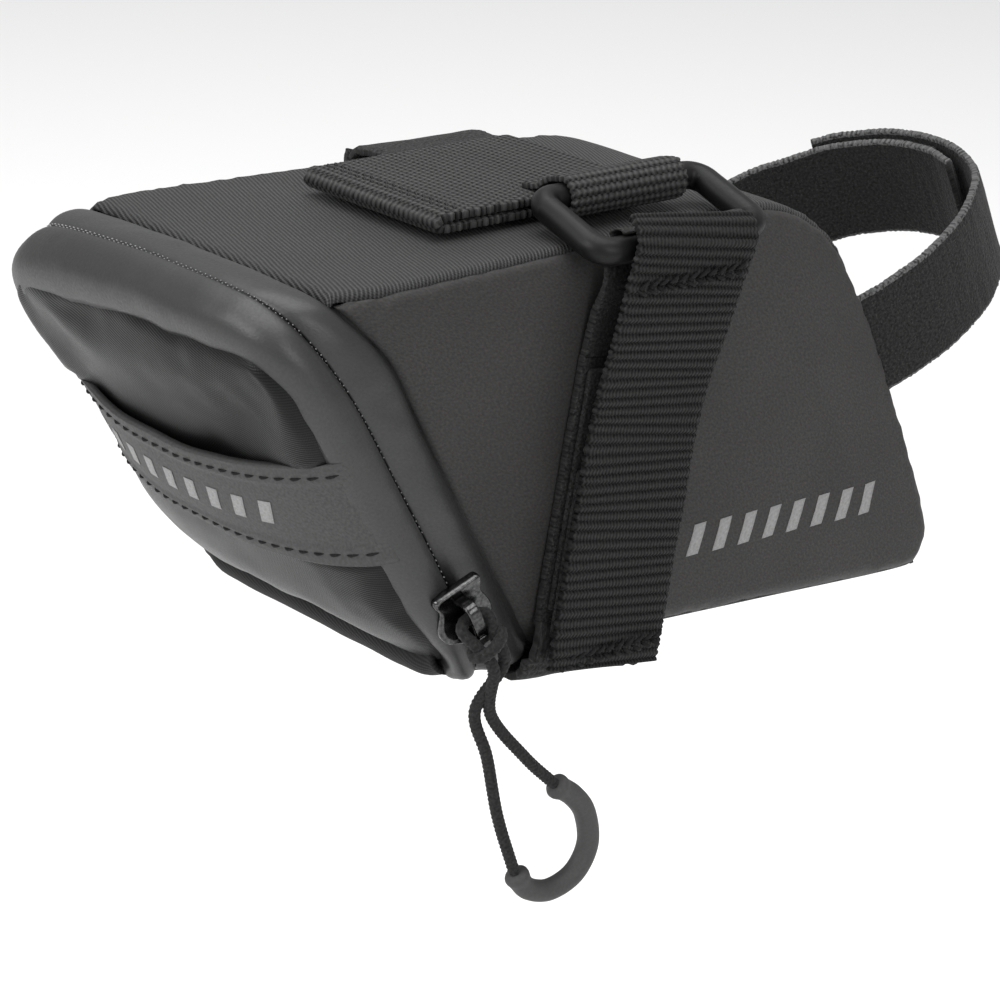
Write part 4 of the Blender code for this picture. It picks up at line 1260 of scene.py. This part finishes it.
main_line = spaced(down_left + under + up_right, 0.5)
long_strap = strap("long_strap", main_line, [strap_wide(p) for p in main_line], STRAP_W, 1.6, PILE,
                   bead=0.3, fuzz=0.16)
fit(long_strap, "shell", "pile", "main_strap")
bar_r = ROD_R + 0.3
riser_route = [tuple(on_side(-1, -24.0, LAY + 0.1)), tuple(on_side(-1, -16.5, LAY + 0.9)),
               (strap_x(-11.4), -34.6, -11.4), (strap_x(-8), -34.8, -8.0)]
riser_route += round_bar(RING_OUT, bar_r + 0.1, -12, 112, 9, True)
riser_line = spaced(riser_route, 0.4)
riser_run = lengths(riser_line)
riser_thick = [1.6 - 1.15 * min(max((r - 8) / 8, 0), 1) for r in riser_run]
riser = strap("strap_riser", riser_line, [strap_wide(p) if p.z < -7 else (1, 0, 0) for p in riser_line],
              STRAP_W, riser_thick, PILE, bead=0.3, fuzz=0.05)
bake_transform(riser)
print("long strap:", round(lengths(main_line)[-1] + riser_run[-1]), "mm")

# %% Patches and tail
face_1 = LAY + 0.85 + 0.3 + 0.5
face_2 = face_1 + 1.3
tail_lift = face_2 + 0.5 + 0.3 + 0.75
for name, body, node, z0, z1, lift0, lift1 in (
        ("loop_patch_face", "shell", "strap_loop_patch", -26.0, -65.0, face_1 + 0.1, face_1 + 0.25),
        ("hook_patch_face", "tail", "strap_hook_patch", -42.0, -69.0, face_2 + 0.2, face_2 + 0.3)):
    line = [on_side(-1, z0 + (z1 - z0) * k / 60, lift0 + (lift1 - lift0) * k / 60) for k in range(61)]
    fit(strap(name, line, [(1, TAPER, 0)] * len(line), STRAP_W - 1.5, 0.9, PILE, bead=0.2, fuzz=0.1), body,
        "pile", node)

TAIL_FROM, TAIL_TO = 108, 180               # degrees round the bar, from the bag's side over the top
tail_route = round_bar(RING_OUT, bar_r + 1.5, TAIL_FROM, TAIL_TO, 6, True)
tail_route += [(strap_x(-9.5), -41.0, -9.5), (strap_x(-17), -39.9, -17.0), (strap_x(-26), -38.3, -26.0)]
tail_route += [tuple(on_side(-1, z, tail_lift + 0.45)) for z in (-36, -46, -56, -66, -74)]
tail_line = spaced(tail_route, 0.2)


def tail_wide(p):
    lean = min(max((-p.z - 5.0) / 26.0, 0.0), 1.0)
    return (1.0, TAPER * lean, -0.10)


RIB = 1.6
tail_run = lengths(tail_line)
sway = [p + Vector((0.22 * ripple(s / 9, 3, 1), 0.25 * ripple(s / 12, 0, 7), 0))
        for p, s in zip(tail_line, tail_run)]
tail = strap("strap_tail_webbing", sway, [tail_wide(p) for p in tail_line], STRAP_W, 1.15, WEBBING,
             pitch=RIB, rib=0.34, bead=0.4)
fit(tail, "tail", "webbing", "strap_tail")
print("tail:", round(tail_run[-1]), "mm,", round(tail_run[-1] / RIB), "ribs")

bar_pairs = []
for base_z, slant in ((-9.0, 1), (-10.4, -1), (-70.6, 1), (-72.2, -1)):
    near = min(tail_line, key=lambda p: abs(p.z - base_z) + (100 if p.z > -20 and p.y > -39 else 0))
    for k in range(11):
        x = near.x - STRAP_W / 2 + 1.4 + 2.05 * k
        y = near.y - 1.0
        bar_pairs.append((Vector((x, y, base_z - 0.55 * slant)), Vector((x + 1.9, y, base_z + 0.55 * slant)),
                          Vector((0, -1, 0))))
fit(stitches("tail_stitches", bar_pairs, 0.34, THREAD), "tail", "cord")

# %% [markdown]
# ## Seatpost strap
# Two arms of hook-and-loop leave a band sewn across the front and close round the seatpost.  The
# right arm lies outside with its free end past the middle, and both have a pale knitted edge.

# %% Seatpost arms
ARM_FWD, ARM_UP = Vector((0.906, 0.0, 0.423)), Vector((-0.423, 0.0, 0.906))
ARM_ROOT = Vector((72.0, 0.0, -34.0))
outer_arm = [(-3.0, -24.6), (1.0, -25.6), (6.0, -26.4), (13.0, -26.8), (22.0, -25.4), (29.5, -22.4),
             (35.8, -17.8), (39.4, -11.8), (41.2, -4.2), (40.2, 5.9), (35.5, 15.5), (31.0, 19.8)]
inner_arm = [(-3.0, 24.6), (1.0, 25.6), (6.0, 26.2), (12.0, 26.0), (19.0, 24.0), (25.0, 20.0), (32.5, 13.6),
             (37.0, 5.0), (38.0, -4.0), (36.4, -11.0)]
hook_arm = [(39.6, -4.0), (38.7, 5.4), (34.1, 14.5)]
for name, route, body, node, wide, thick in (
        ("post_arm_right", outer_arm, "arm_right", "post_strap_right", 20.0, 1.5),
        ("post_arm_left", inner_arm, "arm_left", "post_strap_left", 20.0, 1.5),
        ("post_arm_hook", hook_arm, "arm_right", "post_strap_hook", 18.0, 0.8)):
    flat = spaced([(m, y, 0) for m, y in route], 0.5)
    line = [ARM_ROOT + ARM_FWD * p.x + Vector((0, p.y, 0)) for p in flat]
    run = lengths(line)
    line = [p + ARM_UP * (0.25 * ripple(s / 8, 4, 2)) for p, s in zip(line, run)]
    arm = strap(name, line, [ARM_UP] * len(line), wide, thick, POST, bead=0.2, fuzz=0.2)
    if name != "post_arm_hook":
        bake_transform(arm)
        body = None
    fit(arm, body, "pile", node)
    print(name, round(run[-1]), "mm")

front_low, front_high = Vector((front_x(-71.5), 0, -71.5)), Vector((front_x(-21.6), 0, -21.6))
front_down = (front_low - front_high).normalized()
front_out = Vector((-front_down.z, 0, front_down.x))
anchor_mid = front_high.lerp(front_low, 0.28) + front_out * 0.75
anchor_w = half_width(front_high.x) - 2.5
line = [anchor_mid + Vector((0, -anchor_w + 2 * anchor_w * k / 120, 0)) for k in range(121)]
anchor_band = strap("post_anchor_band", line, [front_down] * len(line), 20.0, 1.1, WEBBING, pitch=1.4,
                    rib=0.2, bead=0.3)
fit(anchor_band, "shell", "webbing", "post_strap_anchor")

# %% [markdown]
# ## Inner pieces
# The pieces inside keep the shapes they have in the frame and only get their finishes: a board that
# keeps the floor flat, the nylon coils, the metal stops and the bindings of the top seams.

# %% Inner pieces
for node, mat in (("base_stiffener", BOARD), ("zip_coil_body", COIL_GLINT), ("zip_coil_lid", COIL_GLINT),
                  ("zip_stop_right", STEEL), ("zip_stop_left", STEEL),
                  ("seam_binding_right", INNER), ("seam_binding_left", INNER)):
    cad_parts[node].data.materials.clear()
    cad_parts[node].data.materials.append(mat)

# %% [markdown]
# ## Sizes
# The frame's box is printed in millimetres. The visible model has to stay close to the frame's
# box.

# %% Sizes and finish
print("frame box:", [round(v / MM, 1) for v in (*cad_low, *cad_high)])
